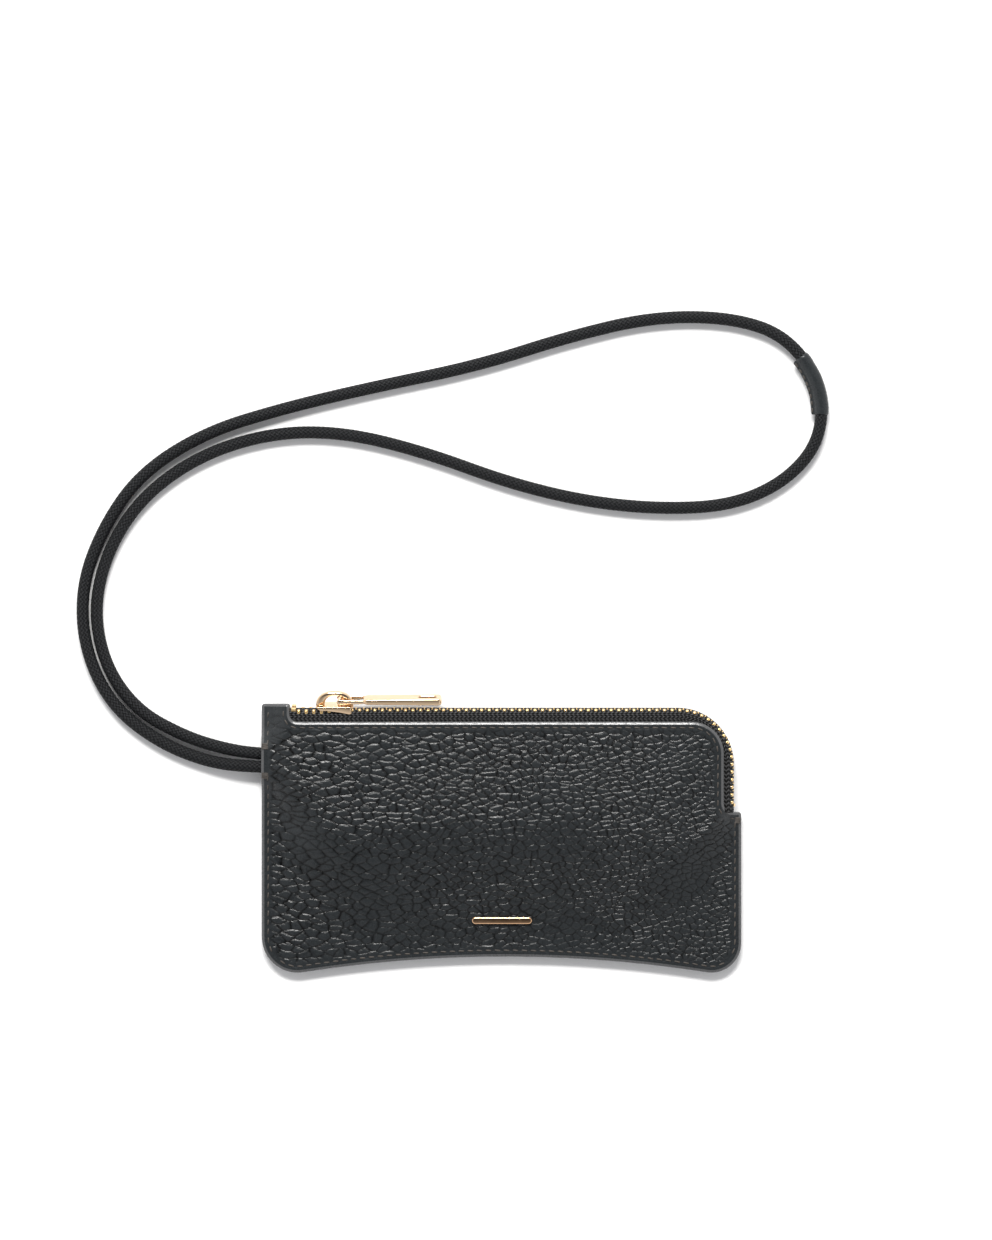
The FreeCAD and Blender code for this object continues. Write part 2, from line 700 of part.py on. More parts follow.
def sleeve_thread(path):
    solids = []
    count = int(path.Length / STITCH_PITCH)
    places = path.discretize(Number=2 * count + 1)
    for i in range(count):
        ahead = places[2 * i + 2] - places[2 * i]
        ahead.normalize()
        middle = places[2 * i + 1] + ahead.cross(Z_AXIS) * (FIN_REACH - 0.6)
        middle += Z_AXIS * (FIN_HALF_THICKNESS + THREAD_RADIUS + THREAD_GAP)
        solids.append(stitch(middle - ahead, middle + ahead))
    return Part.makeCompound(solids)


# Small parts on and in the body

def badge(surface):
    """A plain rounded bar with two pins, laid on the slope of the front."""
    half = BADGE_LENGTH / 2 - BADGE_WIDTH / 2
    bar = Part.makeBox(2 * half, BADGE_WIDTH, BADGE_THICKNESS, Vector(-half, -BADGE_WIDTH / 2, 0))
    ends = [Part.makeCylinder(BADGE_WIDTH / 2, BADGE_THICKNESS, Vector(x, 0, 0)) for x in (-half, half)]
    depth = LEATHER * 0.6
    pin_places = [Vector(x, 0, -depth) for x in (-BADGE_PIN_OFFSET, BADGE_PIN_OFFSET)]
    pins = [Part.makeCylinder(BADGE_PIN_RADIUS, depth + 0.2, p) for p in pin_places]
    holes = [
        Part.makeCylinder(BADGE_PIN_RADIUS + 0.05, depth + 1.0, p - Vector(0, 0, 0.1)) for p in pin_places
    ]
    reach = BADGE_WIDTH / 2
    low = sheet_height(surface, BADGE_X, BADGE_Y - reach)
    high = sheet_height(surface, BADGE_X, BADGE_Y + reach)
    slope = math.degrees(math.atan2(high - low, 2 * reach))
    solid = bar.fuse(ends + pins).removeSplitter()
    place = Vector(BADGE_X, BADGE_Y, (low + high) / 2 + 0.12)
    for shape in [solid] + holes:
        shape.rotate(ORIGIN, X_AXIS, slope)
        shape.translate(place)
    return solid, holes


def card_pocket():
    low = LEATHER + LINING + 4 * LAYER_GAP
    corner_point = Vector(-POCKET_HALF_WIDTH, POCKET_BOTTOM, low)
    return Part.makeBox(2 * POCKET_HALF_WIDTH, POCKET_TOP - POCKET_BOTTOM, POCKET_THICKNESS, corner_point)


def build():
    body_prism = prism(panel_outline())
    lining_prism = prism(panel_outline(LINING_INSET))
    cord_room = Part.makeBox(
        EXIT_REACH[0], 2 * (EXIT_HALF_HEIGHT + 1.0), TALL,
        Vector(LEFT - 1, EXIT_Y - EXIT_HALF_HEIGHT - 1.0, 0),
    )
    back_top = sheet(back_high)
    front_top = sheet(raised(front_low, LEATHER))
    ground = Part.makeBox(400, 400, 10, Vector(-200, -200, -10))
    badge_bar, badge_holes = badge(front_top)
    cord_points = [Vector(*p) for p in CORD_ROUTE]
    edges, radii = cord_edges(cord_points)
    cord_path = Part.Wire(edges)
    on_sleeve = sleeve_path(cord_points)
    seam_line = panel_outline(STITCH_INSET)
    window_line = panel_outline(WINDOW_STITCH_INSET)
    back_bottom = sheet(back_low)
    seam_stitches = stitches_on(front_top, seam_line, 1, sewn_edge)
    seam_stitches += stitches_on(back_bottom, seam_line, -1, sewn_edge)
    nodes = {
        "back_panel": shell(body_prism, back_bottom, back_top).cut(ground),
        "front_panel": shell(body_prism, sheet(front_low), front_top).cut(badge_holes),
        "back_lining": shell(
            lining_prism.cut(cord_room), sheet(back_lining_low), sheet(raised(back_lining_low, LINING))
        ),
        "front_lining": shell(
            lining_prism.cut(cord_room), sheet(raised(front_lining_high, -LINING)), sheet(front_lining_high)
        ),
        "card_pocket": card_pocket(),
        "zip_tape_front": along_chain(strip_outline(tape_points(1), TAPE)),
        "zip_tape_back": along_chain(strip_outline(tape_points(-1), TAPE)),
        "zip_teeth_front": teeth(1),
        "zip_teeth_back": teeth(-1),
        "zip_top_stops": top_stops(),
        "zip_bottom_stop": bottom_stop(),
        "slider_body": slider_body(),
        "slider_bridge": slider_bridge(),
        "pull_tab": pull_tab(),
        "neck_cord": neck_cord(cord_path, radii),
        "cord_sleeve": cord_sleeve(on_sleeve),
        "sleeve_thread": sleeve_thread(on_sleeve),
        "seam_thread": Part.makeCompound(seam_stitches),
        "zip_thread_front": Part.makeCompound(stitches_on(front_top, window_line, 1, window_edge)),
        "bar_tacks": bar_tacks(front_top),
        "badge_bar": badge_bar,
    }
    return nodes


os.makedirs("parts", exist_ok=True)
for name, shape in build().items():
    if not shape.isValid():
        print("not valid:", name)
    print(name, len(shape.Solids), round(shape.Volume, 1))
    shape.exportStep("parts/" + name + ".step")
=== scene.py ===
"""Looks of the neck pouch wallet: leather shells, zip, gold fittings, braided cord, studio."""
import math

import bmesh
import bpy
import numpy as np
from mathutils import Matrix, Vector, geometry


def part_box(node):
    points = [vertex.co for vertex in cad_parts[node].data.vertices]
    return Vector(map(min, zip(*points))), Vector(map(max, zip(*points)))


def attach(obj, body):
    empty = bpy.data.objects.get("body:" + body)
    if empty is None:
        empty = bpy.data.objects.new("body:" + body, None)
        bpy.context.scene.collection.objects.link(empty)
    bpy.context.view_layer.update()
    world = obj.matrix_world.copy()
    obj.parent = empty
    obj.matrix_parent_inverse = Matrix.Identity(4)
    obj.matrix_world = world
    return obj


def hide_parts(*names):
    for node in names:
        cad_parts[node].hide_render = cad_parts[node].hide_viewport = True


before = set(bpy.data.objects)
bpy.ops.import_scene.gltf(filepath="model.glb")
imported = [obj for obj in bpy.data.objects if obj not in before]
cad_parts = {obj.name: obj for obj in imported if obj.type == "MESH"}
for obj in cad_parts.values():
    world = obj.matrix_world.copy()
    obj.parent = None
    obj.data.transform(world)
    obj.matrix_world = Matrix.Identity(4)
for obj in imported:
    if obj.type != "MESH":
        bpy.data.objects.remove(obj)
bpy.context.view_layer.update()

MM = 0.001


def box_mm(node):
    low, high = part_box(node)
    return np.array(low) / MM, np.array(high) / MM


# Driving sizes in millimetres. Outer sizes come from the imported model.
BODY_LOW, BODY_HIGH = box_mm("front_panel")
LEFT, BOTTOM = BODY_LOW[0], BODY_LOW[1]
RIGHT, TAB_TOP = BODY_HIGH[0], BODY_HIGH[1]
CORNER_LEFT = 12.8
CORNER_RIGHT = 10.65
BOTTOM_SWEEP = 465.0
SHOULDER = 9.2
SMALL_CORNER = 1.0
LEATHER = 1.3
SEAM_MARGIN = 3.5
TAB_EDGE = -75.05
TAB_FILLET = 2.85
WINDOW_TOP = 41.4
WINDOW_RIGHT = 78.7
WINDOW_CORNER = 11.4
WINDOW_FILLET = 3.6
RIM_LIFT = 0.8
RIM_OPENING = 0.75
TAPE_ROOM = 0.95
LINING_INSET = 1.0
LINING_THICKNESS = 0.3
LAYER_GAP = 0.05
CORD_ROOM = 14.0
DOME = 5.65
CROWN = 0.7
CROWN_REACH = 30
SIDE_SLOPE = 44
LEFT_SLOPE_AT_ZIP = 9
RIGHT_SLOPE_AT_ZIP = 7
LEFT_SHORTENS = (-40, 38)
RIGHT_SHORTENS = (-34, 14)
MARGIN_AT_ZIP = 0.6
BOTTOM_SLOPE = 48
BACK_SIDE_SLOPE = 6.5
BACK_BOTTOM_SLOPE = 9
EXIT_Y = 27.45
EXIT_HALF_HEIGHT = 5.6
EXIT_LIFT = 0.71
GROOVE_WIDTH = 0.45
FRONT_GROOVE = 0.16
BACK_GROOVE = 0.14
SEAM_INSET = 2.3
WINDOW_SEAM_INSET = 2.1
GRAIN_DEPTH = 0.21
BACK_GRAIN_SHARE = 0.5
TAB_GRAIN_SHARE = 0.6
WAVE_HEIGHT = 0.22
FOLD_HEIGHT = 0.13
LIP_TURN = 0.34
BACK_THREAD_HEIGHT = 0.27
STITCH_PITCH = 3.2
STITCH_LENGTH = 2.35
THREAD_RADIUS = 0.27

# Zip chain
CHAIN_Y = 45.55
CHAIN_Z = 5.4
CHAIN_ROLL = math.radians(18.0)
ROLL_SIN, ROLL_COS = math.sin(CHAIN_ROLL), math.cos(CHAIN_ROLL)
CHAIN_START = -71.8
CHAIN_END_Y = 10.4
BEND_X = 62.6
BEND_Y = 26.3
BEND_RADIUS = CHAIN_Y - BEND_Y
PITCH = 2.7
STRAIGHT = BEND_X - CHAIN_START
BEND = BEND_RADIUS * math.pi / 2
CHAIN_LENGTH = STRAIGHT + BEND + BEND_Y - CHAIN_END_Y
BACK_TOOTH_SHARE = 0.6
BACK_TUCK = 0.45
PARTED = 0.75
TAPE_HALF = 0.25
TAPE_RIPPLE = 0.03
TAPE_STEP = 0.9

# Slider and pull, along the chain and out of its face
CORNER_POINTS = 6
SLIDER_LEFT = -65.8
SLIDER_RIGHT = -52.4
PLATE_LOW = 1.35
PLATE_HIGH = 1.9
FLANGE_ACROSS = 3.27
FLANGE_HALF = 0.33
BRIDGE_TOP = 7.0
BRIDGE_HALF_WIDTH = 1.224
HOLE_LEFT = -62.6
HOLE_RIGHT = -55.5
HOLE_TOP = 5.4
PIN_X = -57.3
PIN_OUT = 3.7
PULL_HALF_THICKNESS = 1.25
ARM_ACROSS = 2.5
PULL_BAR_START = -48.8
PULL_END = -21.1

# Cord
CORD_RADIUS = 2.2
CORD_Z = 2.25
SLEEVE_Z = 2.85
CORD_ROUTE = [
    (-75.5, 25.2, 4.45), (-87.5, 25.2, 4.45), (-104.0, 26.8, CORD_Z), (-122.5, 34.3, CORD_Z),
    (-138.7, 47.3, CORD_Z), (-148.1, 66.9, CORD_Z), (-149.3, 89.0, CORD_Z), (-142.0, 109.5, CORD_Z),
    (-128.5, 129.3, CORD_Z), (-105.5, 144.0, CORD_Z), (-78.0, 152.5, CORD_Z), (-46.0, 160.1, CORD_Z),
    (-9.0, 167.6, CORD_Z), (25.5, 178.6, CORD_Z), (54.5, 185.2, CORD_Z), (82.0, 184.9, CORD_Z),
    (101.5, 178.2, SLEEVE_Z), (113.8, 160.8, SLEEVE_Z), (113.5, 141.5, SLEEVE_Z),
    (101.5, 127.0, CORD_Z), (82.5, 118.3, CORD_Z), (58.0, 116.8, CORD_Z), (31.0, 119.3, CORD_Z),
    (3.0, 126.0, CORD_Z), (-27.0, 137.0, CORD_Z), (-55.0, 144.0, CORD_Z), (-80.0, 144.2, CORD_Z),
    (-105.5, 136.8, CORD_Z), (-126.5, 122.5, CORD_Z), (-139.5, 103.5, CORD_Z),
    (-144.9, 82.0, CORD_Z), (-141.0, 61.3, CORD_Z), (-129.5, 45.2, CORD_Z),
    (-112.5, 36.0, CORD_Z), (-98.5, 31.7, 3.0), (-86.0, 29.8, 4.45), (-75.5, 29.7, 4.45),
]
STRANDS = 10
STRAND_RELIEF = 0.27
SLEEVE_RADIUS = 2.65
SLEEVE_STITCH_PITCH = 2.7
FIN_SEAM = 3.22
BRAID_LAY = 1.7


# Camera, lights and floor

def add_camera():
    data = bpy.data.cameras.new("camera")
    camera = bpy.data.objects.new("camera", data)
    bpy.context.collection.objects.link(camera)
    distance, frame_height = 1.6, 0.4402
    aim = Vector((-0.0019, 0.0774, 0.004))
    data.sensor_width = 36.0
    data.lens = data.sensor_width * distance / frame_height
    data.clip_end = 20.0
    camera.location = aim + Vector((0, 0, distance))
    bpy.context.scene.camera = camera


def add_key_light():
    data = bpy.data.lights.new("key", "AREA")
    data.shape = "RECTANGLE"
    data.size, data.size_y = 0.9, 0.42
    data.energy = 42.0
    data.color = (1.0, 0.99, 0.97)
    lamp = bpy.data.objects.new("key", data)
    bpy.context.collection.objects.link(lamp)
    lamp.location = (-0.12, 1.2, 1.3)
    lamp.rotation_euler = (Vector((0.0, 0.05, 0.0)) - lamp.location).to_track_quat("-Z", "Y").to_euler()


def add_studio():
    add_key_light()
    world = bpy.data.worlds.new("studio")
    bpy.context.scene.world = world
    world.use_nodes = True
    n = Nodes(world.node_tree)
    background = world.node_tree.nodes["Background"]
    up = n.node("ShaderNodeSeparateXYZ", {0: n.coords.outputs["Generated"]}).outputs[2]
    ramp = n.node("ShaderNodeValToRGB", {0: up})
    stops = ramp.color_ramp.elements
    stops[0].position, stops[0].color = 0.0, (0.85, 0.86, 0.88, 1)
    stops[1].position, stops[1].color = 1.0, (0.03, 0.03, 0.033, 1)
    for position, tone in ((0.6, 0.8), (0.83, 0.36), (0.94, 0.07)):
        stops.new(position).color = (tone, tone, tone * 1.02, 1)
    n.link(ramp.outputs[0], background.inputs["Color"])
    background.inputs["Strength"].default_value = 1.15
    bpy.context.scene.view_settings.view_transform = "Standard"
    size = 3.0
    floor = mesh_object(
        "floor", [(-size, -size, 0), (size, -size, 0), (size, size, 0), (-size, size, 0)],
        [(0, 1, 2, 3)], [new_material("floor_paper", (0.95, 0.95, 0.95), 0.85)[0]], scale=1.0,
    )
    floor.location.z = -0.0002


# Materials

def new_material(name, colour, roughness, metallic=0.0):
    material = bpy.data.materials.new(name)
    material.use_nodes = True
    shader = material.node_tree.nodes["Principled BSDF"]
    shader.inputs["Base Color"].default_value = (*colour, 1)
    shader.inputs["Roughness"].default_value = roughness
    shader.inputs["Metallic"].default_value = metallic
    return material, shader


class Nodes:
    """Short calls for nodes in a material, a world or a geometry tree."""

    def __init__(self, tree, position=None):
        self.tree = tree
        self.coords = None if position else tree.nodes.new("ShaderNodeTexCoord")
        self.position = position or self.coords.outputs["Object"]

    def node(self, kind, inputs=None, **settings):
        made = self.tree.nodes.new(kind)
        for key, value in settings.items():
            setattr(made, key, value)
        for key, value in (inputs or {}).items():
            if hasattr(value, "is_output"):
                self.tree.links.new(value, made.inputs[key])
            else:
                made.inputs[key].default_value = value
        return made

    def noise(self, scale, detail):
        inputs = {"Vector": self.position, "Scale": scale, "Detail": detail}
        return self.node("ShaderNodeTexNoise", inputs).outputs[0]

    def cells(self, scale, at=None, feature="F1", randomness=1.0, **settings):
        inputs = {"Vector": at or self.position, "Scale": scale, "Randomness": randomness}
        return self.node("ShaderNodeTexVoronoi", inputs, feature=feature, **settings).outputs["Distance"]

    def math(self, operation, a, b=0.0):
        return self.node("ShaderNodeMath", {0: a, 1: b}, operation=operation).outputs[0]

    def plus(self, a, b):
        return self.math("ADD", a, b)

    def minus(self, a, b):
        return self.math("SUBTRACT", a, b)

    def times(self, a, b):
        return self.math("MULTIPLY", a, b)

    def span(self, value, low, high, to_low, to_high):
        inputs = {0: value, 1: low, 2: high, 3: to_low, 4: to_high}
        return self.node("ShaderNodeMapRange", inputs).outputs[0]

    def join(self, x, y):
        return self.node("ShaderNodeCombineXYZ", {0: x, 1: y}).outputs[0]

    def blend(self, factor, first, second):
        first, second = (c if hasattr(c, "is_output") else (*c, 1) for c in (first, second))
        return self.node("ShaderNodeMix", {0: factor, 6: first, 7: second}, data_type="RGBA").outputs[2]

    def bump(self, height, distance, strength=1.0, after=None):
        inputs = {"Height": height, "Distance": distance, "Strength": strength}
        if after is not None:
            inputs["Normal"] = after
        return self.node("ShaderNodeBump", inputs).outputs[0]

    def link(self, value, socket):
        self.tree.links.new(value, socket)


def domes(n):
    """The grain without its sharp creases, for a mesh that is too coarse to hold them."""
    return pebbles(n, ((1.0, 0.46, 0.75, 0.78), (0.43, 0.42, 0.25, 1.0)), 1.3)


CREASES = ((1.0, 0.24, 0.62, 0.78), (0.43, 0.14, 0.24, 1.0), (2.1, 0.25, 0.14, 1.0))


def pebbles(n, layers=CREASES, power=1.5):
    """Pebbled grain from 0 in the creases to 1 on the crowns, in rows that fan out by the cord."""
    at = n.node("ShaderNodeVectorMath", {0: n.position, 3: 1 / MM}, operation="SCALE").outputs[0]
    parts = n.node("ShaderNodeSeparateXYZ", {0: at})
    x, y = parts.outputs[0], parts.outputs[1]
    near = n.math("EXPONENT", n.times(n.minus(x, float(LEFT)), -1 / 20))
    below = n.span(y, EXIT_Y + 12, EXIT_Y - 28, -0.5, 1.0)
    y = n.minus(y, n.times(n.times(near, below), 5.0))
    for size, amount in ((13.0, 3.0), (3.4, 0.7)):
        inputs = {"Vector": n.join(x, y), "Scale": 1 / size, "Detail": 1.0}
        shift = n.node("ShaderNodeTexNoise", inputs, noise_dimensions="2D").outputs[1]
        drift = n.node("ShaderNodeSeparateXYZ", {0: shift})
        x = n.plus(x, n.times(n.minus(drift.outputs[0], 0.5), amount))
        y = n.plus(y, n.times(n.minus(drift.outputs[1], 0.5), amount * 0.8))
    u = n.times(x, n.plus(n.times(x, 0.0003), 0.195))
    v = n.times(y, n.plus(n.times(x, 0.0007), 0.33))
    lattice = n.join(n.plus(u, v), n.minus(u, v))
    height = None
    for scale, reach, share, loose in layers:
        edge = n.cells(scale, lattice, "DISTANCE_TO_EDGE", loose, voronoi_dimensions="2D")
        hollow = n.math("POWER", n.span(edge, 0.0, reach, 1.0, 0.0), power)
        part = n.times(n.minus(1.0, hollow), share)
        height = part if height is None else n.plus(height, part)
    return height


def pattern_values(x, y, pattern):
    """Values of a node pattern at flat places in millimetres, as a geometry tree gives them."""
    mesh = bpy.data.meshes.new("probe")
    mesh.vertices.add(len(x))
    flat = np.column_stack([x, y, np.zeros(len(x))]) * MM
    mesh.vertices.foreach_set("co", flat.ravel())
    probe = bpy.data.objects.new("probe", mesh)
    bpy.context.collection.objects.link(probe)
    tree = bpy.data.node_groups.new("pattern", "GeometryNodeTree")
    for side in ("INPUT", "OUTPUT"):
        tree.interface.new_socket("Geometry", in_out=side, socket_type="NodeSocketGeometry")
    n = Nodes(tree, tree.nodes.new("GeometryNodeInputPosition").outputs[0])
    start = tree.nodes.new("NodeGroupInput")
    inputs = {"Geometry": start.outputs[0], "Name": "value", "Value": pattern(n)}
    store = n.node("GeometryNodeStoreNamedAttribute", inputs, data_type="FLOAT", domain="POINT")
    n.node("NodeGroupOutput", {0: store.outputs[0]})
    probe.modifiers.new("pattern", "NODES").node_group = tree
    made = probe.evaluated_get(bpy.context.evaluated_depsgraph_get()).data
    values = np.zeros(len(x), dtype=np.float32)
    made.attributes["value"].data.foreach_get("value", values)
    bpy.data.objects.remove(probe)
    return values.astype(float)


def leather_material(name, dark, light, roughness, grain, specular=0.28):
    material, shader = new_material(name, light, roughness)
    n = Nodes(material.node_tree)
    calm = n.node("ShaderNodeAttribute", attribute_name="grain").outputs["Fac"]
    sunk = n.times(n.minus(pebbles(n), 1.0), calm)
    height = n.plus(sunk, 1.0)
    mottle = n.blend(n.noise(90.0, 4.0), light, tuple(c * 0.72 for c in light))
    # The creases take the dark colour and the crowns the mottled one: painted shade in the creases of the
    # grain.
    n.link(n.blend(n.span(height, 0.3, 0.95, 0.0, 1.0), dark, mottle), shader.inputs["Base Color"])
    sheen = n.span(n.noise(800.0, 3.0), 0.3, 0.7, roughness - 0.05, roughness + 0.07)
    n.link(sheen, shader.inputs["Roughness"])
    pores = n.bump(n.cells(2600.0), 0.00003 * grain, 0.5)
    fine = n.bump(n.noise(5200.0, 3.0), 0.00003 * grain, 0.5, pores)
    n.link(n.bump(height, 0.00024, 1.0, fine), shader.inputs["Normal"])
    shader.inputs["Specular IOR Level"].default_value = specular
    return material


def tape_material(name):
    """Herringbone weave: slanting ribs that change direction every band across the tape, with painted
    highlight on the ribs and painted shade between them.
    """
    material, shader = new_material(name, (0.012, 0.012, 0.013), 0.7)
    n = Nodes(material.node_tree)
    split = n.node("ShaderNodeSeparateXYZ", {0: n.coords.outputs["UV"]})
    along, across = split.outputs[0], split.outputs[1]
    band = n.math("PINGPONG", across, 0.8)
    rib = n.math("SINE", n.times(n.plus(along, band), 2 * math.pi / 1.5))
    pick = n.math("SINE", n.times(across, 2 * math.pi / 0.6))
    height = n.plus(rib, n.times(pick, 0.7))
    # Raised ribs take the light colour and the grooves the near-black one: painted highlight on the ribs,
    # painted shade between them.
    tone = n.span(n.plus(height, n.noise(1500.0, 2.0)), -0.2, 2.0, 0.0, 1.0)
    n.link(n.blend(tone, (0.0006, 0.0006, 0.0007), (0.09, 0.09, 0.092)), shader.inputs["Base Color"])
    n.link(n.bump(height, 0.0003, 1.0), shader.inputs["Normal"])
    shader.inputs["Specular IOR Level"].default_value = 0.2
    return material


def cord_material(name):
    material, shader = new_material(name, (0.01, 0.01, 0.011), 0.5)
    n = Nodes(material.node_tree)
    fibres = n.noise(5200.0, 2.0)
    split = n.node("ShaderNodeSeparateXYZ", {0: n.coords.outputs["UV"]})
    along = n.math("DIVIDE", split.outputs[0], BRAID_LAY)
    turn = n.times(split.outputs[1], float(STRANDS))
    cells, crowns = [], []
    for slant in ("ADD", "SUBTRACT"):
        strand = n.math(slant, turn, along)
        middle = n.minus(n.times(n.math("FRACT", strand), 2.0), 1.0)
        crowns.append(n.minus(1.0, n.times(middle, middle)))
        cells.append(n.math("FLOOR", strand))
    parity = n.times(n.math("FRACT", n.times(n.plus(*cells), 0.5)), 2.0)
    crown = n.span(parity, 0.0, 1.0, *crowns)
    # Strand crowns take the light colour and the gaps the near-black one: painted glints on the crowns,
    # painted shade in the gaps.
    crown_glint = n.times(n.math("POWER", crown, 2.0), 0.9)
    tone = n.plus(n.times(fibres, 0.1), crown_glint)
    n.link(n.blend(tone, (0.0001, 0.0001, 0.0001), (0.025, 0.026, 0.028)), shader.inputs["Base Color"])
    woven = n.bump(crown, 0.00022, 1.0)
    n.link(n.bump(fibres, 0.00003, 0.6, woven), shader.inputs["Normal"])
    shader.inputs["Specular IOR Level"].default_value = 0.09
    return material


def thread_material(name, dark, light):
    material, shader = new_material(name, dark, 0.55)
    n = Nodes(material.node_tree)
    # The lighter brown flecks are painted glints over the thread's own dark colour.
    n.link(n.blend(n.noise(900.0, 2.0), dark, light), shader.inputs["Base Color"])
    n.link(n.bump(n.noise(6000.0, 2.0), 0.00005, 0.9), shader.inputs["Normal"])
    return material


def gold_material(name, colour, roughness):
    material, shader = new_material(name, colour, roughness, 1.0)
    n = Nodes(material.node_tree)
    wear = n.noise(350.0, 4.0)
    n.link(n.span(wear, 0.3, 0.7, roughness - 0.04, roughness + 0.08), shader.inputs["Roughness"])
    deeper = tuple(c * f for c, f in zip(colour, (0.94, 0.88, 0.78)))
    n.link(n.blend(n.noise(120.0, 2.0), colour, deeper), shader.inputs["Base Color"])
    n.link(n.bump(n.noise(2600.0, 3.0), 0.000012, 0.5), shader.inputs["Normal"])
    return material


def cloth_material(name, dark, light):
    material, shader = new_material(name, dark, 0.8)
    n = Nodes(material.node_tree)
    weave = n.node("ShaderNodeTexWave", {"Vector": n.position, "Scale": 500.0}).outputs[1]
    n.link(n.blend(weave, dark, light), shader.inputs["Base Color"])
    n.link(n.bump(weave, 0.00005, 0.6), shader.inputs["Normal"])
    return material


# The first colour of each leather is painted shade for the creases of its grain; the second is its own
# colour.
LEATHER_SKIN = leather_material("leather_skin", (0.0002, 0.0002, 0.0003), (0.0225, 0.0255, 0.0275), 0.26, 1.0)
LEATHER_EDGE = leather_material(
    "leather_edge_paint", (0.05, 0.05, 0.051), (0.075, 0.076, 0.078), 0.26, 0.1, specular=0.6
)
LEATHER_BACKING = leather_material("leather_flesh_side", (0.02, 0.02, 0.021), (0.035, 0.034, 0.033), 0.8, 1.5)
TAPE = tape_material("zip_tape_weave")
CORD = cord_material("cord_braid")
THREAD = thread_material("sewing_thread", (0.012, 0.011, 0.010), (0.085, 0.07, 0.058))
TEETH_GOLD = gold_material("teeth_gold", (0.88, 0.64, 0.31), 0.27)
SLIDER_GOLD = gold_material("slider_gold", (0.78, 0.595, 0.41), 0.13)
BADGE_GOLD = gold_material("badge_gold", (0.82, 0.53, 0.33), 0.15)
LINING = cloth_material("lining_cloth", (0.02, 0.02, 0.021), (0.035, 0.035, 0.037))


# Mesh helpers. Points are in millimetres.

def mesh_object(name, points, faces, materials, scale=MM, slots=None, uv=None):
    mesh = bpy.data.meshes.new(name)
    mesh.from_pydata((np.asarray(points, float) * scale).tolist(), [], [tuple(f) for f in faces])
    for material in materials:
        mesh.materials.append(material)
    if slots is not None:
        mesh.polygons.foreach_set("material_index", np.asarray(slots, dtype=np.int32))
    mesh.polygons.foreach_set("use_smooth", [True] * len(mesh.polygons))
    if uv is not None:
        layer = mesh.uv_layers.new(name="UVMap")
        corners = np.zeros(len(mesh.loops), dtype=np.int32)
        mesh.loops.foreach_get("vertex_index", corners)
        layer.data.foreach_set("uv", np.asarray(uv, dtype=np.float32)[corners].ravel())
    mesh.validate()
    mesh.update()
    made = bpy.data.objects.new(name, mesh)
    bpy.context.collection.objects.link(made)
    return made


class Build:
    """Gathers points and faces of one piece."""

    def __init__(self):
        self.points = []
        self.faces = []
        self.slots = []

    def add(self, points, faces):
        start = len(self.points)
        self.points.extend(np.asarray(points, float).tolist())
        self.faces.extend([tuple(start + i for i in f) for f in faces])
        self.slots.extend([0] * len(faces))

    def make(self, name, materials):
        return mesh_object(name, self.points, self.faces, materials, slots=self.slots)


def finish(piece, node, body="pouch"):
    """Let a piece stand for a node and the body that it moves with."""
    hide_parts(node)
    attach(piece, body)


def ring_faces(count, rings):
    """Quads between rings of the same count of points, each ring closed on itself."""
    faces = []
    for a in range(0, (rings - 1) * count, count):
        b = a + count
        for i in range(count):
            j = (i + 1) % count
            faces.append((a + i, a + j, b + j, b + i))
    return faces


def closed_tube(count, rings):
    """The quads of ring_faces with a cap on the first and the last ring."""
    last = (rings - 1) * count
    return ring_faces(count, rings) + [tuple(range(count))[::-1], tuple(range(last, last + count))]


def fill(loop, holes=(), inner=(), flip=False):
    """Triangles over a loop of flat points, round its holes and through the inner points."""
    loops = [np.asarray(loop)] + [np.asarray(h) for h in holes]
    points = np.concatenate(loops + ([np.asarray(inner)] if len(inner) else []))
    edges = []
    start = 0
    for one in loops:
        edges += [(start + i, start + (i + 1) % len(one)) for i in range(len(one))]
        start += len(one)
    flat = [Vector((float(p[0]), float(p[1]))) for p in points]
    result = geometry.delaunay_2d_cdt(flat, edges, [], 1 if not holes else 2, 1e-6)
    triangles = [tuple(result[3][v][0] for v in f) for f in result[2] if all(result[3][v] for v in f)]
    for hole in holes:
        within = inside(points[np.array(triangles)].mean(axis=1), hole)
        triangles = [t for t, gone in zip(triangles, within) if not gone]
    turned = []
    for t in triangles:
        a, b, c = points[list(t)]
        area = (b[0] - a[0]) * (c[1] - a[1]) - (b[1] - a[1]) * (c[0] - a[0])
        turned.append(t if (area > 0) != flip else t[::-1])
    return turned


def inside(points, loop):
    """Which of the flat points lie inside a closed loop."""
    x, y = points[:, 0], points[:, 1]
    within = np.zeros(len(points), bool)
    for p, q in zip(loop, np.roll(loop, -1, axis=0)):
        if p[1] != q[1]:
            crosses = (p[1] > y) != (q[1] > y)
            within ^= crosses & (x < p[0] + (y - p[1]) / (q[1] - p[1]) * (q[0] - p[0]))
    return within


def smoothstep(value):
    value = np.clip(value, 0.0, 1.0)
    return value * value * (3 - 2 * value)


def unit_rows(vectors):
    return vectors / np.linalg.norm(vectors, axis=1)[:, None]


def lengths_along(points):
    """The distance along a line at each of its points."""
    return np.concatenate([[0], np.cumsum(np.linalg.norm(np.diff(points, axis=0), axis=1))])


# Outline of the leather panels

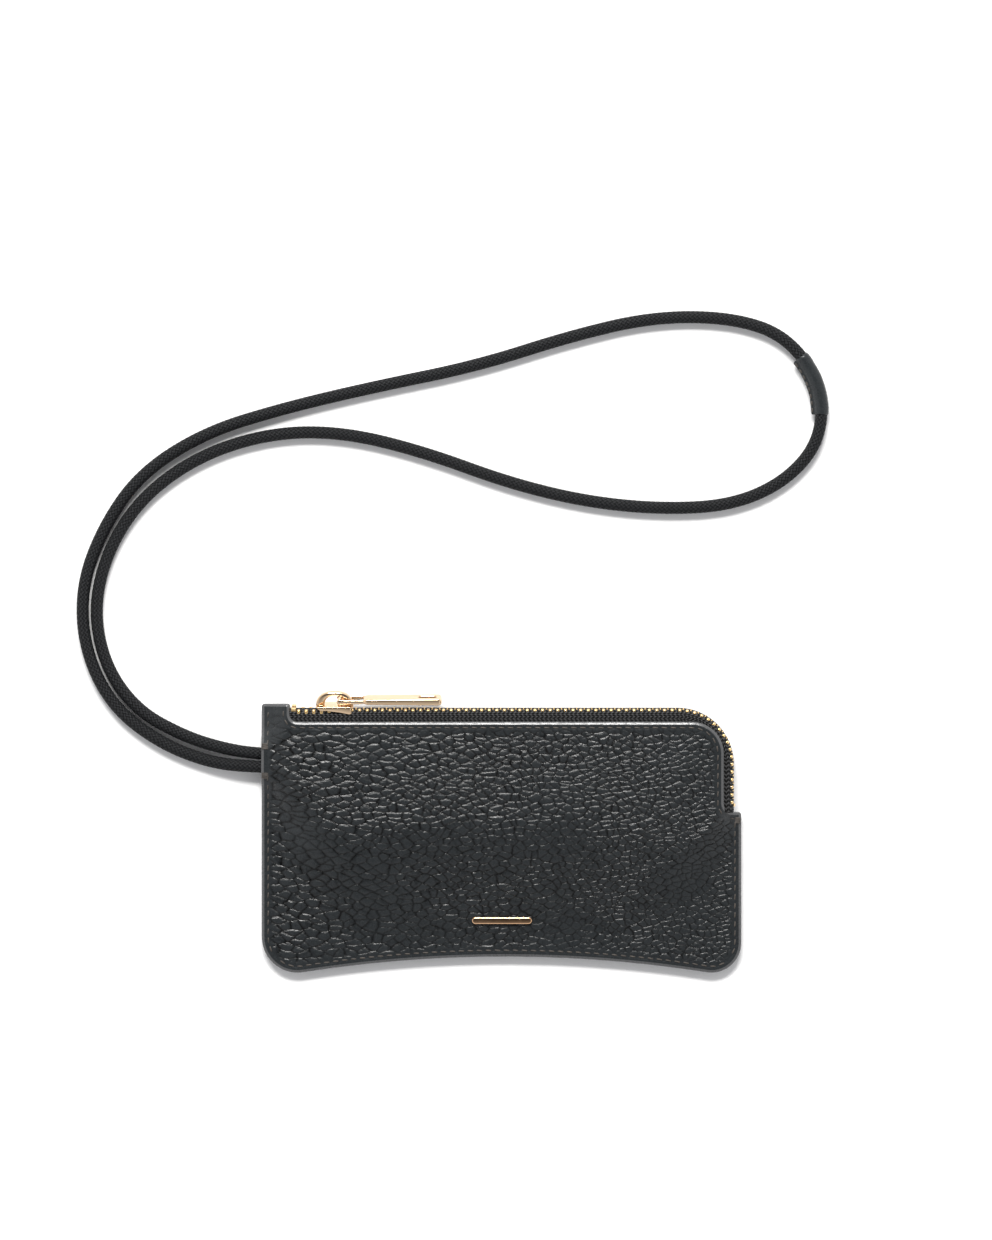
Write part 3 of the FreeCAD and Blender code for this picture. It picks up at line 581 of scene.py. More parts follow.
def bottom_arc_centre():
    a = np.array([LEFT + CORNER_LEFT, BOTTOM + CORNER_LEFT])
    b = np.array([RIGHT - CORNER_RIGHT, BOTTOM + CORNER_RIGHT])
    span = np.linalg.norm(b - a)
    near, far = BOTTOM_SWEEP + CORNER_LEFT, BOTTOM_SWEEP + CORNER_RIGHT
    along = (near ** 2 - far ** 2 + span ** 2) / (2 * span)
    down = math.sqrt(near ** 2 - along ** 2)
    unit = (b - a) / span
    return a + unit * along + np.array([unit[1], -unit[0]]) * down


SWEEP = bottom_arc_centre()


def bottom_edge(x):
    return SWEEP[1] + np.sqrt(BOTTOM_SWEEP ** 2 - (x - SWEEP[0]) ** 2)


def outline_pieces(inset):
    """Straights and arcs of the outline, anticlockwise from the top left corner."""
    bl = (LEFT + CORNER_LEFT, BOTTOM + CORNER_LEFT)
    br = (RIGHT - CORNER_RIGHT, BOTTOM + CORNER_RIGHT)
    to_left = math.degrees(math.atan2(bl[1] - SWEEP[1], bl[0] - SWEEP[0]))
    to_right = math.degrees(math.atan2(br[1] - SWEEP[1], br[0] - SWEEP[0]))
    left, right, top, shoulder = LEFT + inset, RIGHT - inset, TAB_TOP - inset, SHOULDER - inset
    edge, side, ledge = TAB_EDGE - inset, WINDOW_RIGHT - inset, WINDOW_TOP - inset
    tab, foot, turn = TAB_FILLET + inset, WINDOW_FILLET + inset, WINDOW_CORNER - inset
    r = max(SMALL_CORNER - inset, 0.15)
    return [
        ((left, top - r), (left, bl[1])),
        (bl, CORNER_LEFT - inset, 180, 180 + to_left),
        (tuple(SWEEP), BOTTOM_SWEEP + inset, to_left, to_right),
        (br, CORNER_RIGHT - inset, 180 + to_right, 360),
        ((right, br[1]), (right, shoulder - r)),
        ((right - r, shoulder - r), r, 0, 90),
        ((right - r, shoulder), (side + foot, shoulder)),
        ((side + foot, shoulder + foot), foot, 270, 180),
        ((side, shoulder + foot), (side, ledge - turn)),
        ((side - turn, ledge - turn), turn, 0, 90),
        ((side - turn, ledge), (edge + tab, ledge)),
        ((edge + tab, ledge + tab), tab, 270, 180),
        ((edge, ledge + tab), (edge, top - r)),
        ((edge - r, top - r), r, 0, 90),
        ((edge - r, top), (left + r, top)),
        ((left + r, top - r), r, 90, 180),
    ]


def piece_length(piece):
    if len(piece) == 2:
        return math.dist(*piece)
    return piece[1] * math.radians(abs(piece[3] - piece[2]))


def outline(inset, step):
    """Points of the outline. Every inset gives the same count, in step."""
    points = []
    for base, piece in zip(outline_pieces(0.0), outline_pieces(inset)):
        count = max(int(round(piece_length(base) / step)), 3)
        t = np.arange(count) / count
        if len(piece) == 2:
            a, b = np.array(piece[0]), np.array(piece[1])
            points.append(a + (b - a) * t[:, None])
        else:
            angle = np.radians(piece[2] + (piece[3] - piece[2]) * t)
            centre = np.array(piece[0])
            points.append(centre + piece[1] * np.stack([np.cos(angle), np.sin(angle)], 1))
    return np.concatenate(points)


# Heights of the leather

def right_seam_distance(x, y):
    return np.hypot(np.maximum(RIGHT - x, 0.0), np.maximum(y - SHOULDER, 0.0))


def rise(distance, length, margin=SEAM_MARGIN):
    return smoothstep((distance - margin) / length)


def fullness(x, y):
    """From 0 at the seams to 1 where the front stands full. The slopes shorten towards the zip."""
    full = rise(y - bottom_edge(x), BOTTOM_SLOPE)
    for distance, slope_at_zip, low, high in (
        (x - LEFT, LEFT_SLOPE_AT_ZIP, *LEFT_SHORTENS),
        (right_seam_distance(x, y), RIGHT_SLOPE_AT_ZIP, *RIGHT_SHORTENS),
    ):
        near_zip = smoothstep((y - low) / (high - low))
        length = SIDE_SLOPE - (SIDE_SLOPE - slope_at_zip) * near_zip
        full = full * rise(distance, length, SEAM_MARGIN - (SEAM_MARGIN - MARGIN_AT_ZIP) * near_zip)
    return full


def chain_distance(x, y):
    bend = np.hypot(x - BEND_X, y - BEND_Y) - BEND_RADIUS
    straight = np.maximum(y - BEND_Y, x - BEND_X) - BEND_RADIUS
    return np.where((x > BEND_X) & (y > BEND_Y), bend, straight)


def exit_bulge(x, y):
    """A soft rise over the cord ends, which widens and sinks into the front."""
    reach = 1 - smoothstep((x - LEFT - 8) / 40)
    off = np.abs(y - EXIT_Y) - (EXIT_HALF_HEIGHT - 1.6)
    return EXIT_LIFT * (1 - smoothstep(off / (8.0 + 26.0 * smoothstep((x - LEFT) / 22)))) * reach


def front_low(x, y):
    full = fullness(x, y)
    lift = 1 - (1 - full) * (1 - exit_bulge(x, y))
    crown = CROWN * full * smoothstep(-chain_distance(x, y) / CROWN_REACH)
    return LEATHER + RIM_LIFT + RIM_OPENING + DOME * lift + crown


def back_high(x, y):
    sides = rise(x - LEFT, BACK_SIDE_SLOPE) * rise(right_seam_distance(x, y), BACK_SIDE_SLOPE)
    return LEATHER + RIM_LIFT * (1 - sides * rise(y - bottom_edge(x), BACK_BOTTOM_SLOPE))


# Relief of the leather

def hashed(i, j, seed):
    """Repeatable numbers from 0 to 1 for whole-number places."""
    value = np.sin(i * 127.1 + j * 311.7 + seed * 74.7) * 43758.5453
    return value - np.floor(value)


def soft_noise(x, y, seed):
    i, j = np.floor(x), np.floor(y)
    u, v = smoothstep(x - i), smoothstep(y - j)
    low = hashed(i, j, seed) * (1 - u) + hashed(i + 1, j, seed) * u
    high = hashed(i, j + 1, seed) * (1 - u) + hashed(i + 1, j + 1, seed) * u
    return low * (1 - v) + high * v


def creases(x, y):
    """Fine folds that fan out where the cord ends pull on the seam."""
    dx, dy = x - (LEFT - 1.0), y - EXIT_Y
    far = np.hypot(dx, dy)
    angle = np.arctan2(dy, dx)
    wobble = 0.5 * soft_noise(far / 5, angle * 3, 40)
    fold = np.sin(angle * 15 + wobble * 6)
    strength = smoothstep((far - 4) / 5) * (1 - smoothstep((far - 12) / 24))
    return FOLD_HEIGHT * fold * strength


def edge_distance(x, y, loop):
    """Distance from each point to a loop of points that stand close together."""
    nearest = np.full(x.shape, 1e9)
    for start in range(0, len(loop), 64):
        part = loop[start:start + 64]
        d = np.min((x[:, None] - part[None, :, 0]) ** 2 + (y[:, None] - part[None, :, 1]) ** 2, axis=1)
        nearest = np.minimum(nearest, d)
    return np.sqrt(nearest)


EDGE_LOOP = outline(0.0, 0.8)


def calm(x, y):
    """How much grain shows: little beside the seams and on the tab, most in the middle."""
    inset = edge_distance(x, y, EDGE_LOOP)
    tab = np.clip(smoothstep((x - TAB_EDGE + 3) / 6) + 1 - smoothstep((y - 34) / 6), TAB_GRAIN_SHARE, 1)
    foot = 0.8 + 0.2 * smoothstep((y - bottom_edge(x) - 4) / 14)
    vary = 0.75 + 0.5 * soft_noise(x / 22, y / 15, 33)
    return (0.12 + 0.88 * smoothstep((inset - 2.4) / 2.0)) * tab * foot * vary


def skin_relief(x, y):
    """Grain, folds and the sewn groove of the front, as height over its smooth shape."""
    inset = edge_distance(x, y, EDGE_LOOP)
    groove = -FRONT_GROOVE * np.exp(-((inset - SEAM_INSET + 0.05) / GROOVE_WIDTH) ** 2)
    waves = WAVE_HEIGHT * (soft_noise(x / 28, y / 20, 31) - 0.5)
    grain = GRAIN_DEPTH * (pattern_values(x, y, domes) - 1) * calm(x, y)
    return grain + groove + (creases(x, y) + waves) * smoothstep((inset - 1) / 4)


def back_relief(x, y):
    inset = edge_distance(x, y, EDGE_LOOP)
    groove = BACK_GROOVE * np.exp(-((inset - SEAM_INSET) / GROOVE_WIDTH) ** 2)
    return BACK_GRAIN_SHARE * GRAIN_DEPTH * (1 - pattern_values(x, y, domes)) * calm(x, y) + groove


def scattered(loop, step, seed):
    """Inner points on a staggered grid, clear of the loop."""
    low, high = loop.min(0), loop.max(0)
    rows = np.arange(low[1], high[1], step * 0.87)
    spots = []
    for k, y in enumerate(rows):
        xs = np.arange(low[0] + (k % 2) * step / 2, high[0], step)
        xs = xs + (hashed(xs, y, seed) - 0.5) * step * 0.12
        spots.append(np.stack([xs, np.full(xs.shape, y)], 1))
    spots = np.concatenate(spots)
    spots = spots[inside(spots, loop)]
    return spots[edge_distance(*spots.T, loop) > step * 0.6]


# The rim of a panel, from the flat inwards to the cut edge: (inset, drop below the surface)
RIM = [
    (1.45, 0.0), (1.15, 0.02), (0.95, 0.07), (0.7, 0.17), (0.4, 0.30), (0.2, 0.40), (0.06, 0.54), (0.0, 0.74),
]
PAINTED = 0.95


def lip(x, y):
    """How far each panel's rim turns towards the other where the two are sewn together."""
    beside_window = smoothstep((x - TAB_EDGE + 1) / 1.5) * smoothstep((y - SHOULDER + 2.5) / 1.5)
    inner = np.maximum(smoothstep((y - WINDOW_TOP + 3) / 1.5), smoothstep((x - WINDOW_RIGHT + 3) / 1.5))
    at_cord = (1 - smoothstep((np.abs(y - EXIT_Y) - 9) / 4)) * (x < LEFT + 4)
    return LIP_TURN * (1 - beside_window * inner) * (1 - at_cord)


def leather_shell(name, low, high, fine, coarse):
    """A closed leather panel. The finely meshed face is the one seen from outside."""
    step = fine * 1.1
    rings, kinds = [], []

    def ring(inset, height, kind):
        flat = outline(inset, step)
        rings.append(np.column_stack([flat, height(*flat.T)]))
        kinds.append(kind)

    ring(0.95, low, 2)
    for inset, rounding in ((0.7, 0.0), (0.2, 0.0), (0.0, 0.18)):
        ring(inset, lambda x, y: low(x, y) - lip(x, y) + rounding, 1)
    for inset, drop in reversed(RIM):
        ring(inset, lambda x, y: high(x, y) - drop, 1 if inset <= PAINTED else 0)
    count = len(rings[0])
    build = Build()
    faces = ring_faces(count, len(rings))
    build.add(np.concatenate(rings), faces)
    build.slots = [kinds[f[3] // count] for f in faces]
    for loop_at, height, spacing, flip, slot in (
        (len(rings) - 1, high, fine, False, 0), (0, low, coarse, True, 2),
    ):
        loop = rings[loop_at][:, :2]
        inner = scattered(loop, spacing, 2)
        triangles = np.array(fill(loop, inner=inner, flip=flip))
        extra = len(build.points)
        build.points.extend(np.column_stack([inner, height(*inner.T)]).tolist())
        remap = np.concatenate([np.arange(count) + loop_at * count, np.arange(len(inner)) + extra])
        build.faces.extend(map(tuple, remap[triangles].tolist()))
        build.slots.extend([slot] * len(triangles))
    piece = build.make(name, [LEATHER_SKIN, LEATHER_EDGE, LEATHER_BACKING])
    points = np.array(build.points)
    layer = piece.data.attributes.new("grain", "FLOAT", "POINT")
    layer.data.foreach_set("value", calm(points[:, 0], points[:, 1]).astype(np.float32))
    return piece


def add_leather():
    front = leather_shell(
        "front_leather", front_low, lambda x, y: front_low(x, y) + LEATHER + skin_relief(x, y), 0.5, 2.5
    )
    back = leather_shell(
        "back_leather", lambda x, y: -back_high(x, y),
        lambda x, y: -np.maximum(back_high(x, y) - LEATHER + 0.03 + back_relief(x, y), 0.0), 0.8, 2.5,
    )
    turn_over(back)
    finish(front, "front_panel")
    finish(back, "back_panel")


def tape_room(x, y):
    """How far the front lining stands off the leather, which leaves room for the tape."""
    return TAPE_ROOM * smoothstep((chain_distance(x, y) + 20) / 7) * fullness(x, y)


def add_lining(name, node, bottom):
    """A thin cloth layer with a notch where the cord's ends come in."""
    loop = outline(LINING_INSET, 2.0)
    notch = (loop[:, 0] < LEFT + CORD_ROOM) & (np.abs(loop[:, 1] - EXIT_Y) < EXIT_HALF_HEIGHT + 1)
    loop[notch, 0] = LEFT + CORD_ROOM
    flat = np.concatenate([loop, scattered(loop, 3.0, 5)])
    count, rim = len(flat), len(loop)
    low = np.column_stack([flat, bottom(*flat.T)])
    triangles = fill(loop, inner=flat[rim:])
    faces = [tuple(count + i for i in t) for t in triangles] + [t[::-1] for t in triangles]
    faces += [(i, (i + 1) % rim, count + (i + 1) % rim, count + i) for i in range(rim)]
    points = np.concatenate([low, low + np.array([0, 0, LINING_THICKNESS])])
    finish(mesh_object(name, points, faces, [LINING]), node)


def turn_over(piece):
    """Mirror a mesh in z and turn its faces the right way out again."""
    mesh = piece.data
    co = np.zeros(len(mesh.vertices) * 3)
    mesh.vertices.foreach_get("co", co)
    co[2::3] *= -1
    mesh.vertices.foreach_set("co", co)
    mesh.flip_normals()
    mesh.update()


# Zip

def rolled(points):
    """Turn points of (along, out of the chain's face, across it) to (along, outward, height)."""
    x, out, across = points.T
    return np.stack([x, out * ROLL_COS - across * ROLL_SIN, out * ROLL_SIN + across * ROLL_COS], 1)


def on_path(points, distance):
    """Carry points of (along, outward, height) along the chain's path on the table."""
    turn = min(max(distance - STRAIGHT, 0.0) / BEND, 1.0) * math.pi / 2
    along, outward, height = points.T
    x = BEND_X + along if distance > STRAIGHT else CHAIN_START + distance + along
    y = CHAIN_Y + outward
    dx, dy = x - BEND_X, y - BEND_Y
    c, s = math.cos(turn), math.sin(turn)
    x, y = BEND_X + dx * c + dy * s, BEND_Y - dx * s + dy * c
    y = y - max(distance - STRAIGHT - BEND, 0.0)
    return np.stack([x, y, CHAIN_Z + height], 1)


def squircle(half_a, half_b, count, power=3.2):
    t = np.arange(count) * 2 * math.pi / count
    ca, sa = np.cos(t), np.sin(t)
    return np.stack([
        half_a * np.sign(ca) * np.abs(ca) ** (2 / power), half_b * np.sign(sa) * np.abs(sa) ** (2 / power)
    ], 1)


def loft(sections):
    """Closed solid through rings of the same count."""
    return np.concatenate(sections), closed_tube(len(sections[0]), len(sections))


def tooth_mesh(side):
    """One claw: a head that meshes, a waist, and two legs closed round the tape's edge."""
    stations = [
        (0.33, 0.20, 0.28), (0.37, 0.36, 0.48), (0.48, 0.48, 0.62), (0.62, 0.50, 0.66), (0.80, 0.42, 0.66),
        (1.05, 0.52, 0.82), (1.35, 0.60, 0.92), (2.00, 0.62, 0.95), (2.28, 0.60, 0.92), (2.50, 0.50, 0.78),
        (2.62, 0.30, 0.50),
    ]
    sections = []
    share, tuck = (1.0, 0.0) if side > 0 else (BACK_TOOTH_SHARE, BACK_TUCK)
    for across, half_x, half_out in stations:
        ring = squircle(half_x, half_out * share, 12)
        ring[:, 1] -= tuck
        sections.append(np.column_stack([ring, np.full(len(ring), side * across)]))
    points, faces = loft(sections)
    return points, faces if side > 0 else [f[::-1] for f in faces]


def parting(distance):
    """How far each row stands off the middle: apart before the slider, meshed after it."""
    at = CHAIN_START + distance
    return PARTED * (1 - smoothstep((at - SLIDER_LEFT - 3) / 5))


def add_teeth():
    for side, name in ((1, "front"), (-1, "back")):
        build = Build()
        first = 0.0 if side > 0 else PITCH / 2
        points, faces = tooth_mesh(side)
        for k in range(int((CHAIN_LENGTH - first) / PITCH) + 1):
            distance = first + k * PITCH
            shifted = points + (0, 0, side * parting(distance))
            build.add(on_path(rolled(shifted), distance), faces)
        finish(build.make("zip_teeth_" + name + "_gold", [TEETH_GOLD]), "zip_teeth_" + name)


def add_tapes():
    """Each tape runs from its beaded edge, which the teeth clamp, down into the pouch."""
    for side, name, tuck, bead_height, tail in (
        (1, "front", 0.0, 0.42,
         [(-1.45, 2.86), (-2.1, 2.78), (-3.0, 2.62), (-4.4, 2.5), (-7.0, 2.58), (-10.5, 2.7)]),
        (-1, "back", -0.42, 0.25,
         [(0.32, -3.15), (0.02, -3.42), (-0.6, -3.58), (-1.6, -3.62), (-4.4, -3.6), (-10.5, -3.6)]),
    ):
        edge = [(tuck - side * a * ROLL_SIN, side * a * ROLL_COS) for a in (1.0, 1.35, 1.7, 2.1, 2.5, 2.8)]
        line = smooth_line(np.array(edge + tail), 3)
        bead = np.hypot(line[:, 0] - tuck, line[:, 1])
        half = TAPE_HALF + bead_height * np.sqrt(np.clip(1 - ((bead - 1.75) / 0.8) ** 2, 0, 1))
        tape_strip("zip_tape_%s_weave" % name, line, half[:, None], "zip_tape_" + name)


def smooth_line(line, times):
    """Catmull-Rom points between the given ones."""
    padded = np.vstack([2 * line[0] - line[1], line, 2 * line[-1] - line[-2]])
    points = []
    for i in range(1, len(padded) - 2):
        p0, p1, p2, p3 = padded[i - 1:i + 3]
        for k in range(times):
            t = k / times
            points.append(0.5 * (
                2 * p1 + (p2 - p0) * t + (2 * p0 - 5 * p1 + 4 * p2 - p3) * t ** 2
                + (3 * p1 - p0 - 3 * p2 + p3) * t ** 3
            ))
    points.append(padded[-2])
    return np.array(points)


def tape_strip(name, line, half, node):
    """A woven strip: its section of (outward, height) points, carried along the chain."""
    ahead = unit_rows(np.gradient(line, axis=0))
    normal = np.column_stack([-ahead[:, 1], ahead[:, 0]])
    across = lengths_along(line)
    section = np.vstack([line + normal * half, (line - normal * half)[::-1]])
    v = np.concatenate([across, across[::-1]])
    count = len(section)
    points, uv = [], []
    stations = np.arange(TAB_EDGE - 1.2 - CHAIN_START, CHAIN_LENGTH + 2.0, TAPE_STEP)
    for distance in stations:
        cloth = np.column_stack([np.zeros(count), section])
        ripple = TAPE_RIPPLE * math.sin(distance * 2 * math.pi / PITCH)
        cloth[:, 2] += ripple * np.exp(-((v - 3.0) / 1.5) ** 2)
        points.append(on_path(cloth, distance))
        uv.append(np.column_stack([np.full(count, distance), v]))
    faces = closed_tube(count, len(stations))
    finish(mesh_object(name, np.concatenate(points), faces, [TAPE], uv=np.concatenate(uv)), node)


# Slider and pull. Points are (x, out of the chain's face, across it).

def slider_place(points):
    return rolled(points) + (0.0, CHAIN_Y, CHAIN_Z)


def add_slider_loft(build, sections):
    points, faces = loft(sections)
    build.add(slider_place(points), faces)


def offset_loop(loop, inset):
    """Move a closed loop of (a, b) points inward, square to its local direction."""
    ahead = unit_rows(np.roll(loop, -1, axis=0) - np.roll(loop, 1, axis=0))
    return loop + inset * np.column_stack([-ahead[:, 1], ahead[:, 0]])


def plate(build, loop, low, high, bevel, holes=(), steps=4, place=slider_place):
    """A flat plate with rounded edges. Loops are anticlockwise (x, across), holes too."""
    angles = np.linspace(0, math.pi / 2, steps)
    profile = [(bevel * (1 - math.cos(a)), bevel * (1 - math.sin(a))) for a in angles]
    levels = [(inset, low + drop) for inset, drop in reversed(profile)]
    levels += [(inset, high - drop) for inset, drop in profile]
    loops_top, loops_low, rings_at = [], [], []
    for sign, one in [(1, loop)] + [(-1, h) for h in holes]:
        rings = []
        for inset, out in levels:
            ring = offset_loop(one, sign * inset)
            rings.append(np.column_stack([ring[:, 0], np.full(len(ring), out), ring[:, 1]]))
        base = len(build.points)
        faces = ring_faces(len(one), len(rings))
        if sign > 0:
            faces = [f[::-1] for f in faces]
        build.add(place(np.concatenate(rings)), faces)
        loops_low.append(rings[0][:, [0, 2]])
        loops_top.append(rings[-1][:, [0, 2]])
        rings_at.append((base, base + (len(rings) - 1) * len(one), len(one)))
    for which, loops, flip in ((0, loops_low, False), (1, loops_top, True)):
        triangles = fill(loops[0], holes=loops[1:])
        remap = np.concatenate([np.arange(r[2]) + r[which] for r in rings_at])
        faces = [tuple(remap[list(t)]) for t in triangles]
        build.faces.extend([f[::-1] if flip else f for f in faces])
        build.slots.extend([0] * len(faces))


def rounded_loop(corners, radius):
    """Anticlockwise loop through corners, each rounded by its radius."""
    corners = [np.array(c, float) for c in corners]
    radii = radius if hasattr(radius, "__len__") else [radius] * len(corners)
    points = []
    for i, corner in enumerate(corners):
        before = corners[i - 1] - corner
        after = corners[(i + 1) % len(corners)] - corner
        before_unit, after_unit = before / np.linalg.norm(before), after / np.linalg.norm(after)
        half = math.acos(np.clip(before_unit @ after_unit, -1, 1)) / 2
        reach = min(radii[i] / math.tan(half), 0.49 * min(np.linalg.norm(before), np.linalg.norm(after)))
        a, b = corner + before_unit * reach, corner + after_unit * reach
        for t in np.linspace(0, 1, CORNER_POINTS):
            points.append(a * (1 - t) ** 2 + corner * 2 * t * (1 - t) + b * t ** 2)
    return np.array(points)


def stadium(x0, x1, half, count=12):
    """Anticlockwise loop with two round ends."""
    right = np.linspace(-math.pi / 2, math.pi / 2, count)
    left = right + math.pi
    a = np.column_stack([x1 - half + half * np.cos(right), half * np.sin(right)])
    b = np.column_stack([x0 + half + half * np.cos(left), half * np.sin(left)])
    return np.concatenate([a, b])


def skirt_place(points):
    """Stand a plate of (x, thickness, inward) points on edge beside the slider's front."""
    x, thickness, inward = points.T
    return slider_place(np.column_stack([x, -inward, thickness]))


def add_slider():
    build = Build()
    for nose, half, mouth, shoulder, corner, low, high in (
        (2.4, 3.6, 3.0, 1.6, 1.2, PLATE_LOW, PLATE_HIGH), (1.8, 2.6, 2.2, 1.2, 1.0, -PLATE_HIGH, -PLATE_LOW),
    ):
        loop = rounded_loop([
            (SLIDER_LEFT, -nose), (SLIDER_LEFT + shoulder, -half), (SLIDER_RIGHT - 3.0, -half),
            (SLIDER_RIGHT, -mouth), (SLIDER_RIGHT, mouth), (SLIDER_RIGHT - 3.0, half),
            (SLIDER_LEFT + shoulder, half), (SLIDER_LEFT, nose),
        ], corner)
        plate(build, loop, low, high, 0.28)
    post = stadium(SLIDER_LEFT + 1.5, SLIDER_LEFT + 5.5, 0.3)
    plate(build, post, -PLATE_HIGH + 0.3, PLATE_HIGH - 0.3, 0.05)
    left, right = SLIDER_LEFT + 1.4, SLIDER_RIGHT - 2.6
    for middle in (FLANGE_ACROSS, -FLANGE_ACROSS):
        low, high = middle - FLANGE_HALF, middle + FLANGE_HALF
        flange = rounded_loop([(left, low), (right, low), (right, high), (left, high)], 0.28)
        plate(build, flange, 0.65, PLATE_HIGH - 0.2, 0.2)
    skirt = rounded_loop([
        (SLIDER_LEFT + 0.5, -2.2), (SLIDER_RIGHT - 0.9, -2.2), (SLIDER_RIGHT - 0.6, 0.2),
        (SLIDER_RIGHT - 1.3, 0.55), (SLIDER_RIGHT - 4.6, -0.15), (SLIDER_LEFT + 4.2, -0.75),
        (SLIDER_LEFT + 0.9, -1.25),
    ], 0.5)
    plate(build, skirt, 3.36, 3.72, 0.15, place=skirt_place)
    finish(build.make("slider_body_gold", [SLIDER_GOLD]), "slider_body", "slider")
    finish(arch_mesh(), "slider_bridge", "slider")


def arch_mesh():
    """The bridge: a solid half-round arch with softened edges, standing on the outer plate."""
    foot = PLATE_HIGH - 0.02
    sections = []
    outer_mid, outer_half = (SLIDER_LEFT + SLIDER_RIGHT) / 2, (SLIDER_RIGHT - SLIDER_LEFT) / 2 - 0.1
    inner_mid, inner_half = (HOLE_LEFT + HOLE_RIGHT) / 2, (HOLE_RIGHT - HOLE_LEFT) / 2
    for t in np.linspace(math.pi, 0, 40):
        ct = math.copysign(abs(math.cos(t)) ** 0.86, math.cos(t))
        st = math.sin(t) ** 0.86 if math.sin(t) > 0 else 0.0
        outer = np.array([outer_mid + outer_half * ct, foot + (BRIDGE_TOP - foot) * st])
        inner = np.array([inner_mid + inner_half * ct, foot + (HOLE_TOP - foot) * st])
        middle, half = (outer + inner) / 2, np.linalg.norm(outer - inner) / 2
        direction = (outer - inner) / (2 * half)
        ring = squircle(half, BRIDGE_HALF_WIDTH, 20)
        xy = middle + ring[:, :1] * direction
        sections.append(np.column_stack([xy, ring[:, 1]]))
    points, faces = loft(sections)
    return mesh_object("slider_bridge_gold", slider_place(points), faces, [SLIDER_GOLD])


def shaped_bar(points):
    """Thin the pull's bar towards the slider and round off its far end."""
    p = points.copy()
    near = 0.6 + 0.4 * smoothstep((p[:, 0] - PULL_BAR_START) / 2.6)
    far = np.sqrt(np.clip(1 - ((p[:, 0] - PULL_END + 1.3) / 1.45).clip(0, 1) ** 2, 0.0, 1.0))
    p[:, 1] = PIN_OUT + (p[:, 1] - PIN_OUT) * near * far
    return p


def add_pull():
    build = Build()
    low, high = PIN_OUT - PULL_HALF_THICKNESS, PIN_OUT + PULL_HALF_THICKNESS
    bar = rounded_loop([
        (PULL_BAR_START, -2.6), (PULL_BAR_START + 1.0, -3.0), (PULL_END - 0.6, -3.0), (PULL_END, -2.0),
        (PULL_END, 2.0), (PULL_END - 0.6, 3.0), (PULL_BAR_START + 1.0, 3.0), (PULL_BAR_START, 2.6),
    ], [0.8, 1.0, 1.6, 1.6, 1.6, 1.6, 1.0, 0.8])
    slot = stadium(PULL_END - 8.3, PULL_END - 1.9, 1.0)
    plate(build, bar, low, high, 0.5, holes=[slot], steps=6, place=lambda p: slider_place(shaped_bar(p)))
    arm_stations = [
        (PIN_X - 1.0, 0.12, 0.15), (PIN_X - 0.9, 0.35, 0.52), (PIN_X - 0.5, 0.47, 0.88), (PIN_X, 0.5, 1.0),
        (PIN_X + 0.6, 0.5, 0.92), (PIN_X + 1.4, 0.48, 0.78), (PULL_BAR_START - 1.6, 0.48, 0.78),
        (PULL_BAR_START - 0.4, 0.5, 0.66), (PULL_BAR_START + 0.6, 0.45, 0.5),
    ]
    for side in (1, -1):
        sections = []
        for x, half_across, half_out in arm_stations:
            out, across = squircle(half_out, half_across, 14, 2.8).T
            sections.append(np.column_stack([np.full(14, x), PIN_OUT + out, side * ARM_ACROSS + across]))
        add_slider_loft(build, sections)
    sections = []
    for across, radius in ((-2.7, 0.3), (-2.6, 0.62), (-2.2, 0.7), (2.2, 0.7), (2.6, 0.62), (2.7, 0.3)):
        ahead, out = squircle(radius, radius, 16, 2.0).T
        sections.append(np.column_stack([PIN_X + ahead, PIN_OUT + out, np.full(16, across)]))
    add_slider_loft(build, sections)
    finish(build.make("pull_tab_gold", [SLIDER_GOLD]), "pull_tab", "pull")


# Cord

def route_points():
    """Points of the cord's smooth line, read from its own spline, in millimetres."""
    curve = bpy.data.curves.new("cord_route", "CURVE")
    curve.dimensions = "3D"
    spline = curve.splines.new("NURBS")
    spline.points.add(len(CORD_ROUTE) - 1)
    for point, place in zip(spline.points, CORD_ROUTE):
        point.co = (place[0] * MM, place[1] * MM, place[2] * MM, 1.0)
    spline.order_u = 3
    spline.use_endpoint_u = True
    spline.resolution_u = 24
    route = bpy.data.objects.new("cord_route", curve)
    bpy.context.collection.objects.link(route)
    mesh = bpy.data.meshes.new_from_object(route)
    points = np.array([v.co[:] for v in mesh.vertices]) / MM
    bpy.data.objects.remove(route)
    bpy.data.meshes.remove(mesh)
    return points


def even_points(points, step):
    """Points evenly spaced along a line, and how far along each one is."""
    lengths = lengths_along(points)
    count = int(lengths[-1] / step) + 1
    at = np.linspace(0, lengths[-1], count)
    return np.stack([np.interp(at, lengths, points[:, k]) for k in range(3)], 1), at


def side_frames(line):
    """Unit directions beside and above a line at each of its points."""
    ahead = unit_rows(np.gradient(line, axis=0))
    side = unit_rows(np.cross(ahead, [0, 0, 1.0]))
    return side, np.cross(side, ahead)


def braid_height(along, angle):
    """Over-and-under strands of a round braid, from 0 in the gaps to 1 on the crowns."""
    u = STRANDS * angle / (2 * math.pi) + along / BRAID_LAY
    v = STRANDS * angle / (2 * math.pi) - along / BRAID_LAY
    over = np.sin(math.pi * u) * np.sin(math.pi * v) > 0
    crown_u = 1 - (2 * (u - np.floor(u)) - 1) ** 2
    crown_v = 1 - (2 * (v - np.floor(v)) - 1) ** 2
    return np.where(over, crown_u, crown_v)


